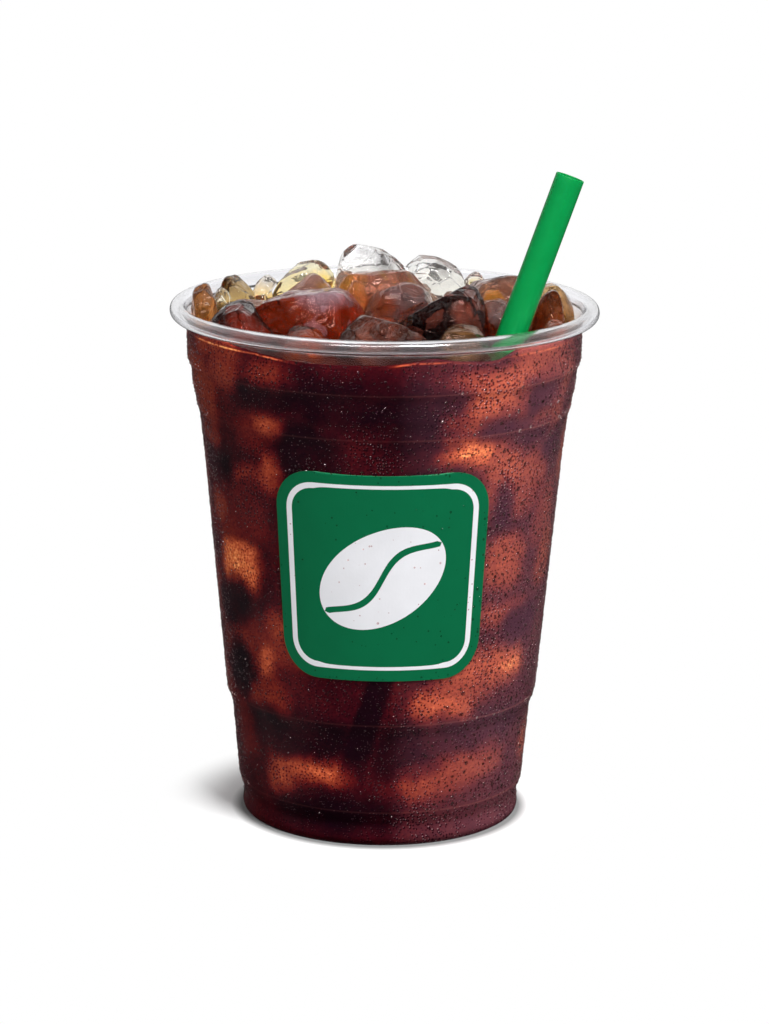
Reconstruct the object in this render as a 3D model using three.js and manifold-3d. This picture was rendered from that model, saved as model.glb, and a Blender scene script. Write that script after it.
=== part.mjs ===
// Iced cold brew coffee in a clear plastic cup, with a straw.
// Millimetres, +Z up. The origin is the centre of the circle that the cup stands on.
// The front of the cup faces -Y, and +X is to its right, the way the straw leans.

import * as THREE from "three";
import { ConvexGeometry } from "three/addons/geometries/ConvexGeometry.js";
import { mergeVertices } from "three/addons/utils/BufferGeometryUtils.js";
import Module from "manifold-3d";

const wasm = await Module();
wasm.setup();

// Driving dimensions

const ROUND_STEPS = 36;
const PIECE_GAP = 0.3;

const CUP = {
  sheet: 0.5,
  rimRadius: 49,
  rimTubeRadius: 1.75,
  height: 119.9,
  collarRadius: 45.1,
  standInner: 28.2,
  standOuter: 31.2,
  floorHollow: 2.0,
  floorBend: 0.9,
  rollEndDeg: -128,
};

// Where the outer wall bends, as [radius, height], from the foot to the collar.
const WALL_BENDS = [
  [31.9, 0.4],
  [32.2, 1.5],
  [31.85, 5.0],
  [33.0, 8.2],
  [34.6, 26.2],
  [35.9, 29.6],
  [41.05, 85.6],
  [42.15, 94.8],
  [42.9, 96.8],
  [43.05, 98.8],
  [43.7, 101.0],
  [44.05, 105.2],
  [44.95, 107.4],
  [CUP.collarRadius, 115.4],
];

const DRINK_LEVEL = 112.7;
const ABOVE_ALL_ICE = 140;

const STRAW = {
  outerRadius: 3.25,
  wall: 0.3,
  foot: new THREE.Vector3(-10.2, -23.6, 6.6),
  top: new THREE.Vector3(40.8, -17.2, 151.4),
  sides: 20,
};

// Ice that stands out of the drink. crest is the skyline of a piece seen from the front,
// from left to right, as [x, z]. y is the middle of the piece and depth its thickness from
// front to back. tone is how deep the coffee colours it. An earlier piece is whole, and a
// later one gives way where they meet.
const ICE = [
  { name: "ice_tall_clear", tone: "clear", y: 23, depth: 15, seed: 11,
    crest: [[-11.5, 121.5], [-10.5, 126], [-8, 129], [-4, 129], [1, 127], [5, 123.5]] },
  { name: "ice_dark_wedge", tone: "brown", y: -13, depth: 17, seed: 5,
    crest: [[3, 118], [6.5, 120.5], [15.5, 125.5], [19.5, 125.5], [22, 123], [22.5, 119]] },
  { name: "ice_big_amber", tone: "brown", y: -12, depth: 20, seed: 23,
    crest: [[-29.5, 120], [-26, 122.5], [-20, 124], [-10, 124.5], [-7, 122.5], [-4.5, 118]] },
  { name: "ice_clear_right", tone: "clear", y: 24, depth: 14, seed: 31,
    crest: [[4.5, 122], [6, 125.5], [9.5, 126.5], [14, 125], [19, 121.5]] },
  { name: "ice_yellow", tone: "clear", y: 26, depth: 15, seed: 41,
    crest: [[-27, 117], [-23.5, 121.5], [-19.5, 124], [-14, 124], [-11.5, 121]] },
  { name: "ice_centre", tone: "amber", y: 0, depth: 16, seed: 53,
    crest: [[-4.5, 118.5], [-2.5, 121.5], [3, 124], [7, 124], [10, 122], [11.5, 119]] },
  { name: "ice_front_centre", tone: "brown", y: -32, depth: 15, seed: 61,
    crest: [[-10, 117.5], [-7, 121], [-3.5, 123], [1.5, 121.5], [9.5, 117.5]] },
  { name: "ice_front_left", tone: "brown", y: -21, depth: 19, seed: 71,
    crest: [[-39, 118], [-36.5, 121], [-31.5, 123], [-29.5, 122], [-26.5, 119], [-23.5, 115]] },
  { name: "ice_right", tone: "amber", y: -2, depth: 15, seed: 83,
    crest: [[33.5, 115], [35.5, 121.5], [38.5, 123.5], [40.5, 121], [41, 116]] },
  { name: "ice_top_centre", tone: "amber", y: 12, depth: 10, seed: 97,
    crest: [[-12.5, 120], [-10.5, 123.5], [-4, 124.5], [8.5, 125], [10.5, 119.5]] },
  { name: "ice_pink_facet", tone: "amber", y: 16, depth: 12, seed: 103,
    crest: [[-23.5, 118], [-16.5, 123.5], [-14.5, 122.5], [-12, 119]] },
  { name: "ice_small_orange", tone: "amber", y: 5, depth: 9, seed: 107,
    crest: [[-9, 121], [-7.5, 124.5], [-5.5, 124], [-3.5, 119]] },
  { name: "ice_grey_brown", tone: "amber", y: 18, depth: 15, seed: 113,
    crest: [[17.5, 119.5], [20.5, 121.5], [27, 122.5], [31, 123.5], [36, 120.5]] },
  { name: "ice_beside_straw", tone: "amber", y: -5, depth: 15, seed: 127,
    crest: [[21, 118], [22.5, 121], [27, 121.5], [30.5, 117]] },
  { name: "ice_orange_yellow", tone: "amber", y: 9, depth: 12, seed: 131,
    crest: [[21, 118.5], [23, 121], [27.5, 121], [30.5, 117]] },
  { name: "ice_far_left", tone: "amber", y: 2, depth: 24, seed: 137,
    crest: [[-44.5, 117], [-44.5, 121.5], [-40.5, 123.5], [-38.5, 118.5]] },
  { name: "ice_left_peak", tone: "clear", y: 21, depth: 11, seed: 139,
    crest: [[-38.5, 118.5], [-38, 121], [-36.5, 122], [-33, 119.5], [-29.5, 115.5]] },
  { name: "ice_left_clear", tone: "clear", y: 16, depth: 12, seed: 149,
    crest: [[-40.5, 116], [-38.5, 120], [-36.5, 119.5], [-34, 115]] },
  { name: "ice_dark_edged", tone: "clear", y: 29, depth: 10, seed: 151,
    crest: [[-31.5, 117], [-28.5, 120.5], [-26.5, 121], [-25.5, 119.5]] },
  { name: "ice_far_right", tone: "amber", y: 10, depth: 14, seed: 157,
    crest: [[35, 120], [38, 123], [41, 121.5], [44, 116.5]] },
  { name: "ice_front_small", tone: "brown", y: -33, depth: 15, seed: 163,
    crest: [[-22, 117], [-20, 119.5], [-16, 119.5], [-12.5, 116.5]] },
  { name: "ice_front_right", tone: "brown", y: -33, depth: 16, seed: 179,
    crest: [[11.5, 117.5], [13.5, 120], [19, 120.5], [22.5, 117.5]] },
  { name: "ice_yellow_tip", tone: "clear", y: 30, depth: 11, seed: 167,
    crest: [[17.5, 118], [20.5, 121], [22.5, 121], [24.5, 117.5]] },
  { name: "ice_right_small", tone: "brown", y: -17, depth: 12, seed: 197,
    crest: [[34.5, 114], [37, 118.5], [39.5, 119], [41, 116]] },
  { name: "ice_left_middle", tone: "amber", y: 3, depth: 22, seed: 173,
    crest: [[-37, 115.5], [-33, 118.5], [-27, 118.5], [-23, 115]] },
  { name: "ice_left_inner", tone: "amber", y: 4, depth: 11, seed: 199,
    crest: [[-22, 117], [-19, 120], [-13, 120], [-10.5, 117]] },
  { name: "ice_middle_right", tone: "amber", y: 5, depth: 18, seed: 211,
    crest: [[12.5, 117], [14.5, 120], [19, 120], [21, 117]] },
  { name: "ice_front_inner", tone: "brown", y: -16, depth: 15, seed: 223,
    crest: [[-4.5, 115], [-2.5, 118.5], [1.5, 118.5], [3.5, 115]] },
  { name: "ice_back_left", tone: "amber", y: 37, depth: 12, seed: 181,
    crest: [[-18, 113], [-14, 118.5], [-7, 119], [-3, 114]] },
  { name: "ice_back_middle", tone: "amber", y: 37, depth: 13, seed: 191,
    crest: [[-2, 114], [1, 118.5], [8, 119], [13, 114]] },
  { name: "ice_back_right", tone: "amber", y: 32, depth: 13, seed: 193,
    crest: [[25, 114], [28, 118], [33, 118], [36, 114]] },
];

// How a block is cut. Tilts are slopes that the seeded draws stay within, and the shares
// are parts of the depth.
const BLOCK = {
  bottom: DRINK_LEVEL - 4.5,
  sideFlare: 1.5,
  bevel: 0.7,
  clearance: 0.35,
  skylineTilt: 0.22,
  faceTilt: 0.25,
  edgeTilt: 0.2,
  upperEdgeSlope: [0.75, 0.7],
  upperEdgeShare: 0.22,
  cornerCut: 1.6,
  cornerShare: 0.12,
};

// Materials

function material(color, roughness, metalness, opacity = 1) {
  return new THREE.MeshStandardMaterial({
    color, roughness, metalness, opacity, transparent: opacity < 1,
  });
}

const clearPlastic = material(0xf2f4f5, 0.12, 0, 0.3);
const coldBrew = material(0x35100a, 0.08, 0);
const iceFinish = {
  clear: material(0xf1ecd8, 0.06, 0, 0.45),
  amber: material(0xc98f62, 0.06, 0, 0.6),
  brown: material(0x6a2a16, 0.06, 0, 0.75),
};
const strawPlastic = material(0x00a04a, 0.35, 0);

// Solids: joining and cutting

function toSolid(geometry) {
  const bare = geometry.clone();
  bare.deleteAttribute("normal");
  bare.deleteAttribute("uv");
  const merged = mergeVertices(bare, 1e-5);
  return new wasm.Manifold(new wasm.Mesh({
    numProp: 3,
    vertProperties: new Float32Array(merged.attributes.position.array),
    triVerts: new Uint32Array(merged.index.array),
  }));
}

function toGeometry(solid) {
  const mesh = solid.getMesh();
  const geometry = new THREE.BufferGeometry();
  geometry.setAttribute("position", new THREE.BufferAttribute(mesh.vertProperties, 3));
  geometry.setIndex(new THREE.BufferAttribute(mesh.triVerts, 1));
  geometry.computeVertexNormals();
  return geometry;
}

// A cut can leave crumbs beside the piece. The largest part is the piece.
function largestPart(solid) {
  const parts = solid.decompose();
  return parts.reduce((best, part) => (part.volume() > best.volume() ? part : best));
}

// A solid of revolution about Z from [radius, height] points. The profile runs
// anticlockwise, with the material on its left, and starts and ends on the axis
// or closes on itself.
function revolve(profile) {
  const points = profile.map(([radius, height]) => new THREE.Vector2(radius, height));
  return new THREE.LatheGeometry(points, ROUND_STEPS).rotateX(Math.PI / 2);
}

function arc(centre, radius, fromDeg, toDeg, steps) {
  const points = [];
  for (let i = 0; i <= steps; i += 1) {
    const angle = THREE.MathUtils.degToRad(fromDeg + ((toDeg - fromDeg) * i) / steps);
    points.push([centre[0] + radius * Math.cos(angle), centre[1] + radius * Math.sin(angle)]);
  }
  return points;
}

// Cup: one thin sheet, with a ring to stand on, a raised floor and a rolled rim.
// The roll goes over the top, outward and down, and stops short of the collar.

const rimCentre = [CUP.rimRadius - CUP.rimTubeRadius, CUP.height - CUP.rimTubeRadius];

function innerWall(clearance) {
  return WALL_BENDS.slice(1).map(([radius, height]) => [radius - CUP.sheet - clearance, height]);
}

// Inside of the floor and of the ring that the cup stands on.
function floorLine(clearance) {
  const top = CUP.floorHollow + CUP.sheet + clearance;
  const low = CUP.sheet + clearance;
  const ringInside = CUP.standInner + CUP.sheet + clearance;
  return [
    [ringInside - CUP.floorBend, top],
    [ringInside, top - CUP.floorBend],
    [ringInside, low],
    [CUP.standOuter - clearance, low],
  ];
}

function cupProfile() {
  const underside = [
    [0, CUP.floorHollow],
    [CUP.standInner - CUP.floorBend, CUP.floorHollow],
    [CUP.standInner, CUP.floorHollow - CUP.floorBend],
    [CUP.standInner, 0],
    [CUP.standOuter, 0],
  ];
  const rollOutside = arc(rimCentre, CUP.rimTubeRadius, CUP.rollEndDeg, 180, 8);
  const rollInside = arc(rimCentre, CUP.rimTubeRadius - CUP.sheet, 180, CUP.rollEndDeg, 6);
  const floor = [...innerWall(0).reverse(), ...floorLine(0).reverse()];
  const floorMiddle = [0, CUP.floorHollow + CUP.sheet];
  return [...underside, ...WALL_BENDS, ...rollInside, ...rollOutside, ...floor, floorMiddle];
}

// Drink: fills the cup to its level, cut round the straw's wall and the ice.

function insideProfile(top, clearance) {
  const wall = innerWall(clearance).filter(([, height]) => height < top);
  const last = WALL_BENDS[WALL_BENDS.length - 1][0] - CUP.sheet - clearance;
  const floorTop = CUP.floorHollow + CUP.sheet + clearance;
  return [[0, floorTop], ...floorLine(clearance), ...wall, [last, top], [0, top]];
}

// Straw: a plain tube along a straight line, open at both ends.

function alongStraw(geometry) {
  const axis = new THREE.Vector3().subVectors(STRAW.top, STRAW.foot);
  const turn = new THREE.Quaternion().setFromUnitVectors(
    new THREE.Vector3(0, 0, 1), axis.clone().normalize());
  geometry.applyQuaternion(turn);
  geometry.translate(STRAW.foot.x, STRAW.foot.y, STRAW.foot.z);
  return geometry;
}

function strawTube(outer, inner, extra) {
  const length = STRAW.top.distanceTo(STRAW.foot);
  const ring = [[inner, -extra], [outer, -extra], [outer, length + extra], [inner, length + extra]];
  const points = [...ring, ring[0]].map(([radius, height]) => new THREE.Vector2(radius, height));
  return alongStraw(new THREE.LatheGeometry(points, STRAW.sides).rotateX(Math.PI / 2));
}

function strawRod(radius) {
  const length = STRAW.top.distanceTo(STRAW.foot);
  const rod = new THREE.CylinderGeometry(radius, radius, length, STRAW.sides);
  return alongStraw(rod.rotateX(Math.PI / 2).translate(0, 0, length / 2));
}

// Ice: an uneven block with bevelled edges. Its faces are planes: one for each stretch of
// the skyline, two sides, a bottom, a front and a back, and some edges planed off at
// seeded tilts.

function seededRandom(seed) {
  let state = seed * 7919;
  return () => {
    state = (state * 1664525 + 1013904223) % 4294967296;
    return state / 4294967296;
  };
}

function icePlanes(piece) {
  const random = seededRandom(piece.seed);
  const spread = (amount) => (random() * 2 - 1) * amount;
  const { crest, y, depth } = piece;
  const [left, right] = [crest[0], crest[crest.length - 1]];
  const outline = [
    [left[0] - BLOCK.sideFlare, BLOCK.bottom],
    ...crest,
    [right[0] + BLOCK.sideFlare, BLOCK.bottom],
  ];
  const middle = new THREE.Vector3((left[0] + right[0]) / 2, y, (BLOCK.bottom + left[1]) / 2);
  const top = Math.max(...crest.map(([, height]) => height));
  const planes = [];
  const addPlane = (x, depthwise, z, point) => {
    const normal = new THREE.Vector3(x, depthwise, z).normalize();
    planes.push({ normal, distance: normal.dot(point) });
  };
  for (let i = 0; i + 1 < outline.length; i += 1) {
    const [from, to] = [outline[i], outline[i + 1]];
    const [run, rise] = [to[0] - from[0], to[1] - from[1]];
    const tilt = spread(BLOCK.skylineTilt) * Math.hypot(run, rise);
    const point = new THREE.Vector3(from[0] + run / 2, y, from[1] + rise / 2);
    addPlane(-rise, tilt, run, point);
  }
  addPlane(spread(BLOCK.edgeTilt), spread(BLOCK.edgeTilt), -1, middle.clone().setZ(BLOCK.bottom));
  for (const side of [-1, 1]) {
    const face = middle.clone().setY(y + (side * depth) / 2);
    addPlane(spread(BLOCK.faceTilt), side, spread(BLOCK.edgeTilt), face);
    const upperEdge = middle.clone().setY(face.y - side * BLOCK.upperEdgeShare * depth).setZ(top);
    const [outSlope, upSlope] = BLOCK.upperEdgeSlope;
    addPlane(spread(BLOCK.faceTilt), side * outSlope, upSlope + spread(BLOCK.edgeTilt), upperEdge);
    for (const outward of [-1, 1]) {
      const end = outward < 0 ? left : right;
      const corner = middle.clone().setX(end[0] - outward * BLOCK.cornerCut);
      corner.setY(face.y - side * BLOCK.cornerShare * depth);
      addPlane(outward, side * (1 + spread(BLOCK.faceTilt)), spread(BLOCK.faceTilt), corner);
    }
  }
  return planes;
}

function meetingPoint(planes, distances) {
  const [a, b, c] = planes.map(({ normal }) => normal);
  const bc = new THREE.Vector3().crossVectors(b, c);
  const volume = a.dot(bc);
  if (Math.abs(volume) < 1e-3) {
    return null;
  }
  const point = bc.multiplyScalar(distances[0]);
  point.addScaledVector(new THREE.Vector3().crossVectors(c, a), distances[1]);
  point.addScaledVector(new THREE.Vector3().crossVectors(a, b), distances[2]);
  return point.divideScalar(volume);
}

// Every corner where three faces meet gives three points, one on each face, set in from
// the other two by the bevel, or a single sharp point where the bevel is 0. swell moves
// every face outward.
function iceBlock(piece, swell, bevel) {
  const planes = icePlanes(piece).map(({ normal, distance }) => ({
    normal, distance: distance + swell,
  }));
  const inside = (point) => point && planes.every(
    ({ normal, distance }) => normal.dot(point) <= distance + 1e-4);
  const points = [];
  const addCorner = (trio) => {
    const sharp = meetingPoint(trio, trio.map(({ distance }) => distance));
    if (!inside(sharp)) {
      return;
    }
    if (bevel === 0) {
      points.push(sharp);
      return;
    }
    for (const keep of trio) {
      const distances = trio.map((plane) => plane.distance - (plane === keep ? 0 : bevel));
      points.push(meetingPoint(trio, distances));
    }
  };
  for (let i = 0; i < planes.length; i += 1) {
    for (let j = i + 1; j < planes.length; j += 1) {
      for (let k = j + 1; k < planes.length; k += 1) {
        addCorner([planes[i], planes[j], planes[k]]);
      }
    }
  }
  return new ConvexGeometry(points.filter(inside));
}

// The object

const drinkGroup = new THREE.Group();

function addPiece(name, geometry, finish) {
  const mesh = new THREE.Mesh(geometry, finish);
  mesh.name = name;
  drinkGroup.add(mesh);
}

addPiece("cup", revolve(cupProfile()), clearPlastic);
addPiece("straw", strawTube(STRAW.outerRadius, STRAW.outerRadius - STRAW.wall, 0), strawPlastic);

const room = toSolid(revolve(insideProfile(ABOVE_ALL_ICE, PIECE_GAP)));
const strawRoom = toSolid(strawRod(STRAW.outerRadius + PIECE_GAP));
const swollen = [];
for (const piece of ICE) {
  let solid = toSolid(iceBlock(piece, 0, BLOCK.bevel)).intersect(room).subtract(strawRoom);
  for (const other of swollen) {
    solid = solid.subtract(other);
  }
  solid = largestPart(solid);
  addPiece(piece.name, toGeometry(solid), iceFinish[piece.tone]);
  swollen.push(toSolid(iceBlock(piece, BLOCK.clearance, 0)));
}

let drink = toSolid(revolve(insideProfile(DRINK_LEVEL, PIECE_GAP)));
drink = drink.subtract(toSolid(strawTube(
  STRAW.outerRadius + PIECE_GAP, STRAW.outerRadius - STRAW.wall - PIECE_GAP, PIECE_GAP)));
for (const other of swollen) {
  drink = drink.subtract(other);
}
addPiece("drink", toGeometry(largestPart(drink)), coldBrew);

export default drinkGroup;
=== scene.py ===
# Iced cold brew coffee in a clear plastic cup, heaped with ice, with a green straw.
# The frame is in metres, +Z up. Sizes below are in millimetres and turned into metres by MM.

import math
import random

import bmesh
import bpy
import numpy as np
from mathutils import Matrix, Vector, noise
from mathutils.geometry import delaunay_2d_cdt
from mathutils.kdtree import KDTree


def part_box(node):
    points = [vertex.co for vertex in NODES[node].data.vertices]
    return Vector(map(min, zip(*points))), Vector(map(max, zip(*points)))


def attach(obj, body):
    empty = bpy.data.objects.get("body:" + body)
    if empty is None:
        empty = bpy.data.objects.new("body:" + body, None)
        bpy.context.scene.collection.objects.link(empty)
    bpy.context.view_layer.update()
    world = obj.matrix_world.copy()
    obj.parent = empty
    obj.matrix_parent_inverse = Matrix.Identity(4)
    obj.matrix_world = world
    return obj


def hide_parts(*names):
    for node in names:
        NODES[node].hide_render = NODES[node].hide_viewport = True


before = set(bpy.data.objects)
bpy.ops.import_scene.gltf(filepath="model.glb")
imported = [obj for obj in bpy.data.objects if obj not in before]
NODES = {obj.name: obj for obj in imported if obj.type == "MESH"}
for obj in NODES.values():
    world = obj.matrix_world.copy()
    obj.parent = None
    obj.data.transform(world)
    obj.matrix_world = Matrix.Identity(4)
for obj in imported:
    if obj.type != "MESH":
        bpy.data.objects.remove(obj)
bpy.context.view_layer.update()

MM = 0.001

# Without a seed, noise_vector takes its offset from the clock and differs from run to run.
NOISE_SEED = 5
noise.seed_set(NOISE_SEED)

# Camera: where the photograph was taken from, and its roll in radians

CAMERA_PLACE = (0.41, -820.0, 271.5)
CAMERA_DOWN_DEG = 13.78
CAMERA_ROLL = 0.0097
CAMERA_LENS = 128.46

# Cup

CUP_SHEET = 0.5
CUP_STEPS = 240
CORNER_RADIUS = 0.9
WALL_TOP = 116.0
RIM_TUBE_RADIUS = 1.75
ROLL_END_DEG = -128.0
FLOOR_BEND = 0.9

# Drink

REACH_INTO_WALL = 0.12
DRINK_COLUMNS = 320
DRINK_ROW_HEIGHT = 0.8
MENISCUS_RISE = 1.1
MENISCUS_WIDTH = 1.6
# How high the coffee's film stands on the wall: the angle from the front, and the height.
FILM_TOP = [
    (-180, 113.2), (-112, 113.2), (-88, 116.2), (-56, 116.2), (-46, 115.2), (-24, 113.7),
    (0, 113.9), (8, 114.7), (14, 115.4), (20, 114.6), (30, 113.9), (34, 114.1), (38, 115.2),
    (41, 116.2), (88, 116.2), (112, 113.2), (180, 113.2),
]
# How bright the painted golden highlight along the coffee's edge is: the angle, and the light.
PAINTED_EDGE_HIGHLIGHT = [(-180, 0.15), (-75, 0.2), (-60, 0.6), (-32, 0.7), (-24, 0.0), (1, 0.0), (5, 0.75),
             (14, 0.6), (20, 0.15), (40, 0.3), (60, 0.25), (180, 0.15)]
PAINTED_EDGE_HIGHLIGHT_HIGHEST = 114.3
# The painted highlight's rows below and above its middle, of which the two inner ones are lit.
PAINTED_EDGE_HIGHLIGHT_ROWS = (-0.9, -0.3, -0.1, 0.1, 0.3)
PAINTED_EDGE_HIGHLIGHT_LIT_ROWS = (2, 3)
FILM_ABOVE_HIGHLIGHT = 0.45
FLARE_ABOVE_WALL = 0.33
ICE_MENISCUS_RISE = 0.7
ICE_MENISCUS_WIDTH = 1.0

# The coffee's tones, from no light through it to the most.
COFFEE_TONES = [
    (0.0, (14, 2, 7)), (0.15, (46, 5, 11)), (0.3, (80, 16, 16)), (0.45, (106, 34, 23)),
    (0.6, (134, 54, 33)), (0.75, (168, 76, 45)), (0.88, (204, 112, 64)), (1.0, (232, 166, 98)),
]

# Sunk ice that shows through the wall as painted light in the coffee's colour: the angle round
# the cup in degrees from the front, to the right, the height, the width and the height of its
# face, its lean in degrees, the coffee between it and the wall, and how brightly it is lit.
SUNK_ICE = [
    (-56.6, 63.2, 12.0, 9.4, 6, 0.4, 0.95),
    (-62.0, 70.5, 10.0, 6.0, 0, 1.6, 0.40),
    (-67.7, 75.6, 5.0, 4.6, 0, 0.9, 0.58),
    (-49.2, 85.4, 11.0, 2.2, 6, 1.0, 0.48),
    (-37.3, 85.9, 4.4, 3.6, -20, 0.9, 0.62),
    (-35.2, 88.6, 3.2, 2.6, -24, 0.4, 0.90),
    (-52.8, 77.4, 12.0, 12.0, 0, 2.4, 0.33),
    (-37.4, 97.5, 5.6, 3.6, 4, 0.7, 0.66),
    (-44.0, 95.0, 9.0, 7.0, 0, 2.2, 0.34),
    (-69.4, 92.2, 8.0, 6.6, 0, 0.8, 0.50),
    (-72.6, 103.6, 8.0, 9.0, 0, 1.6, 0.44),
    (-54.3, 109.6, 9.0, 7.0, 6, 1.1, 0.54),
    (-36.4, 108.0, 7.0, 8.0, 10, 1.3, 0.50),
    (-45.2, 41.9, 3.2, 6.4, -22, 0.5, 0.76),
    (-45.5, 32.9, 8.4, 6.4, 0, 1.6, 0.52),
    (-29.0, 47.6, 14.0, 8.0, 8, 1.9, 0.48),
    (-35.3, 50.5, 7.0, 5.0, 0, 1.4, 0.54),
    (-25.9, 17.3, 12.6, 4.4, -4, 0.5, 0.68),
    (-22.9, 16.7, 6.0, 2.0, -8, 0.1, 0.84),
    (-42.4, 14.5, 6.0, 6.0, 12, 1.0, 0.62),
    (47.1, 41.4, 12.0, 7.0, 10, 0.5, 0.72),
    (52.4, 40.4, 7.0, 3.2, 6, 0.2, 0.92),
    (35.0, 41.0, 16.0, 6.4, 14, 1.1, 0.66),
    (23.0, 33.9, 12.6, 4.2, -4, 0.6, 0.72),
    (31.0, 37.0, 18.0, 6.0, 20, 1.6, 0.58),
    (27.5, 16.6, 21.0, 5.0, 10, 1.5, 0.56),
    (40.0, 18.0, 14.0, 5.0, 12, 1.9, 0.50),
    (26.5, 93.2, 13.0, 4.6, -2, 0.2, 0.93),
    (44.0, 88.6, 13.0, 9.0, -12, 1.2, 0.60),
    (33.0, 105.4, 20.0, 10.0, 8, 0.8, 0.70),
    (60.0, 97.0, 10.0, 8.0, 0, 1.5, 0.52),
    (-58.0, 113.6, 16.0, 3.2, 4, 0.8, 0.58),
    (53.0, 113.6, 18.0, 3.2, -4, 0.9, 0.52),
    (22.0, 101.0, 6.0, 8.0, 0, 1.9, 0.48),
    (47.6, 110.6, 9.0, 4.4, -8, 1.0, 0.60),
    (60.0, 108.5, 16.0, 9.0, 0, 1.9, 0.50),
    (55.9, 85.8, 9.0, 6.6, 0, 1.3, 0.54),
    (50.6, 80.2, 9.0, 5.0, 12, 1.6, 0.50),
    (35.5, 80.1, 6.0, 7.0, -10, 1.7, 0.50),
    (44.9, 66.2, 10.0, 9.0, -10, 1.2, 0.60),
    (70.7, 64.1, 8.0, 10.0, 0, 0.9, 0.62),
    (47.8, 53.5, 12.0, 2.4, 2, 1.1, 0.58),
    (66.0, 75.0, 8.0, 12.0, 0, 2.0, 0.46),
    (-30.0, 107.0, 11.0, 6.0, 6, 2.6, 0.30),
    (10.0, 107.0, 10.0, 5.0, 0, 2.7, 0.34),
    (-66.0, 24.0, 8.0, 12.0, 0, 2.6, 0.34),
    (-58.0, 44.5, 18.0, 11.0, 0, 2.2, 0.40),
]
HIDDEN_SIDE_FROM_DEG = 78.0
HIDDEN_SIDE_ROWS = 6
HIDDEN_SIDE_COLUMNS = 7
HIDDEN_SIDE_LOWEST = 13
HIDDEN_SIDE_RANGE = 96
BLOCK_ROUNDING = 3.0
COFFEE_CLEARNESS = 2.3
UNLIT_COFFEE = 0.17
# How far the blocks' outlines wander, in millimetres along and up, at a broad and a fine scale.
DRIFT = {"per_metre": 110, "along": 1.5, "up": 1.1}
RAGGED = {"per_metre": 380, "along": 0.7, "up": 0.6}
# Places of painted shade, where nothing light stands behind the wall: angle, height, width and
# height, then how little light is left in them and over how many millimetres they fade.
DARK_PLACES = [
    (54.0, 104.8, 9.0, 3.6),
    (38.0, 98.2, 8.0, 1.4),
    (54.0, 94.6, 9.0, 2.0),
    (68.0, 90.5, 8.0, 3.0),
    (18.6, 104.2, 7.0, 4.0),
    (22.6, 86.4, 9.0, 2.4),
    (-6, 105.0, 28.0, 9.0),
    (-67, 52.5, 8.0, 4.0),
    (18, 87.0, 12.0, 4.0),
    (10, 98.0, 10.0, 8.0),
    (41.6, 77.8, 4.0, 6.0),
    (-34, 104.0, 18.0, 3.0),
    (-24, 92.0, 12.0, 12.0),
    (-66, 86.0, 12.0, 4.0),
    (-60, 55.0, 8.0, 5.0),
    (-34, 25.0, 24.0, 6.0),
    (40, 26.0, 22.0, 4.0),
    (8, 23.0, 12.0, 9.0),
    (58, 50.0, 10.0, 4.0),
    (-62, 38.0, 8.0, 6.0),
    (-20, 7.0, 26.0, 5.0),
]
DARK_LEFT = 0.12
DARK_FADE = 4.5
# The straw's foot behind the wall as painted shade: the angle and height of its ends, and how it
# fades.
STRAW_STRIP = {"low": (-10.0, 20.0), "high": (-0.5, 39.5), "half_width": 2.9, "edge": 0.6,
               "end": 0.4, "below": 0.25, "above": 1.6}

# Fine mist over the wall with a painted sheen in it, heavier to the right and towards the sides.
MIST_AND_SHEEN = {"from_deg": 4.0, "to_deg": 74.0, "right": 0.32, "left_from_deg": -62.0, "left": 0.12,
        "left_fade_deg": 24.0, "behind": 0.16, "behind_from_deg": 84.0, "behind_fade_deg": 40.0}

# Badge printed on the front

BADGE = {
    "centre": 64.7,
    "half": 24.2,
    "corner": 9.0,
    "frame_inset": 2.6,
    "frame_width": 1.3,
    "lift": 0.03,
    "motif_lift": 0.05,
    "grid": 0.8,
}
BEAN = {"long": 15.5, "short": 10.4, "lean_deg": 32.0, "groove": 1.5, "sway": 3.0}

# Straw

STRAW_RADIUS = 3.25
STRAW_WALL = 0.3
STRAW_SIDES = 56
STRAW_ROWS = 90

# Water beads

BEAD_SINK = 0.03
BEAD_FLATNESS = 0.62
BEAD_SHAKE = 0.34
MIST_SPLIT = 58.0
# Beads keep this clear of the wall's bends, and a faint painted highlight shows at the bends
# named.
BEND_MARGIN = 0.8
BEND_HIGHLIGHT_HEIGHTS = (107.0, 96.6, 29.6, 8.2)
BEND_HIGHLIGHT_HALF_WIDTH = 0.3
# From a drop's painted dark middle to the painted glint beside it, in metres.
GLINT_OFFSET = (-0.16 * MM, 0.0, 0.22 * MM)

# Ice

ICE_VOXEL = 0.45
ICE_SWELL = 0.12
# How deep flats are cut into a block's six sides and eight corners, as shares of its thickness.
SIDE_CUT = (0.01, 0.05)
CORNER_CUT = (0.03, 0.10)
BOX_TILT = 0.35
SIDE_SHAKE = 0.25
# Swell of the melted surface: how many waves in a metre, and their height in millimetres.
BROAD_SWELL = (130, 0.22)
CREASES = (170, 0.3)
FINE_SWELL = (420, 0.08)
# How far the colours inside wander, and how far the broken facets bend, in millimetres.
TINT_WANDER = 8
FACET_BEND = 4


def srgb(*screen):
    """A colour given as 0 to 255 screen values, as the linear colour that a socket takes."""
    linear = []
    for value in screen:
        share = value / 255.0
        linear.append(share / 12.92 if share <= 0.04045 else ((share + 0.055) / 1.055) ** 2.4)
    return (*linear, 1.0)


CLEAR_PLASTIC = srgb(250, 250, 252)
PLASTIC_IOR = 1.45
PLASTIC_SHADE = (0.93, 0.93, 0.94, 1)


# Meshes


def link_mesh(name, vertices, faces, smooth=True):
    mesh = bpy.data.meshes.new(name)
    mesh.from_pydata(vertices, [], faces)
    mesh.update()
    mesh.polygons.foreach_set("use_smooth", [smooth] * len(mesh.polygons))
    obj = bpy.data.objects.new(name, mesh)
    bpy.context.scene.collection.objects.link(obj)
    return obj


def weld(bm):
    bmesh.ops.remove_doubles(bm, verts=bm.verts, dist=0.001 * MM)


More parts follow.
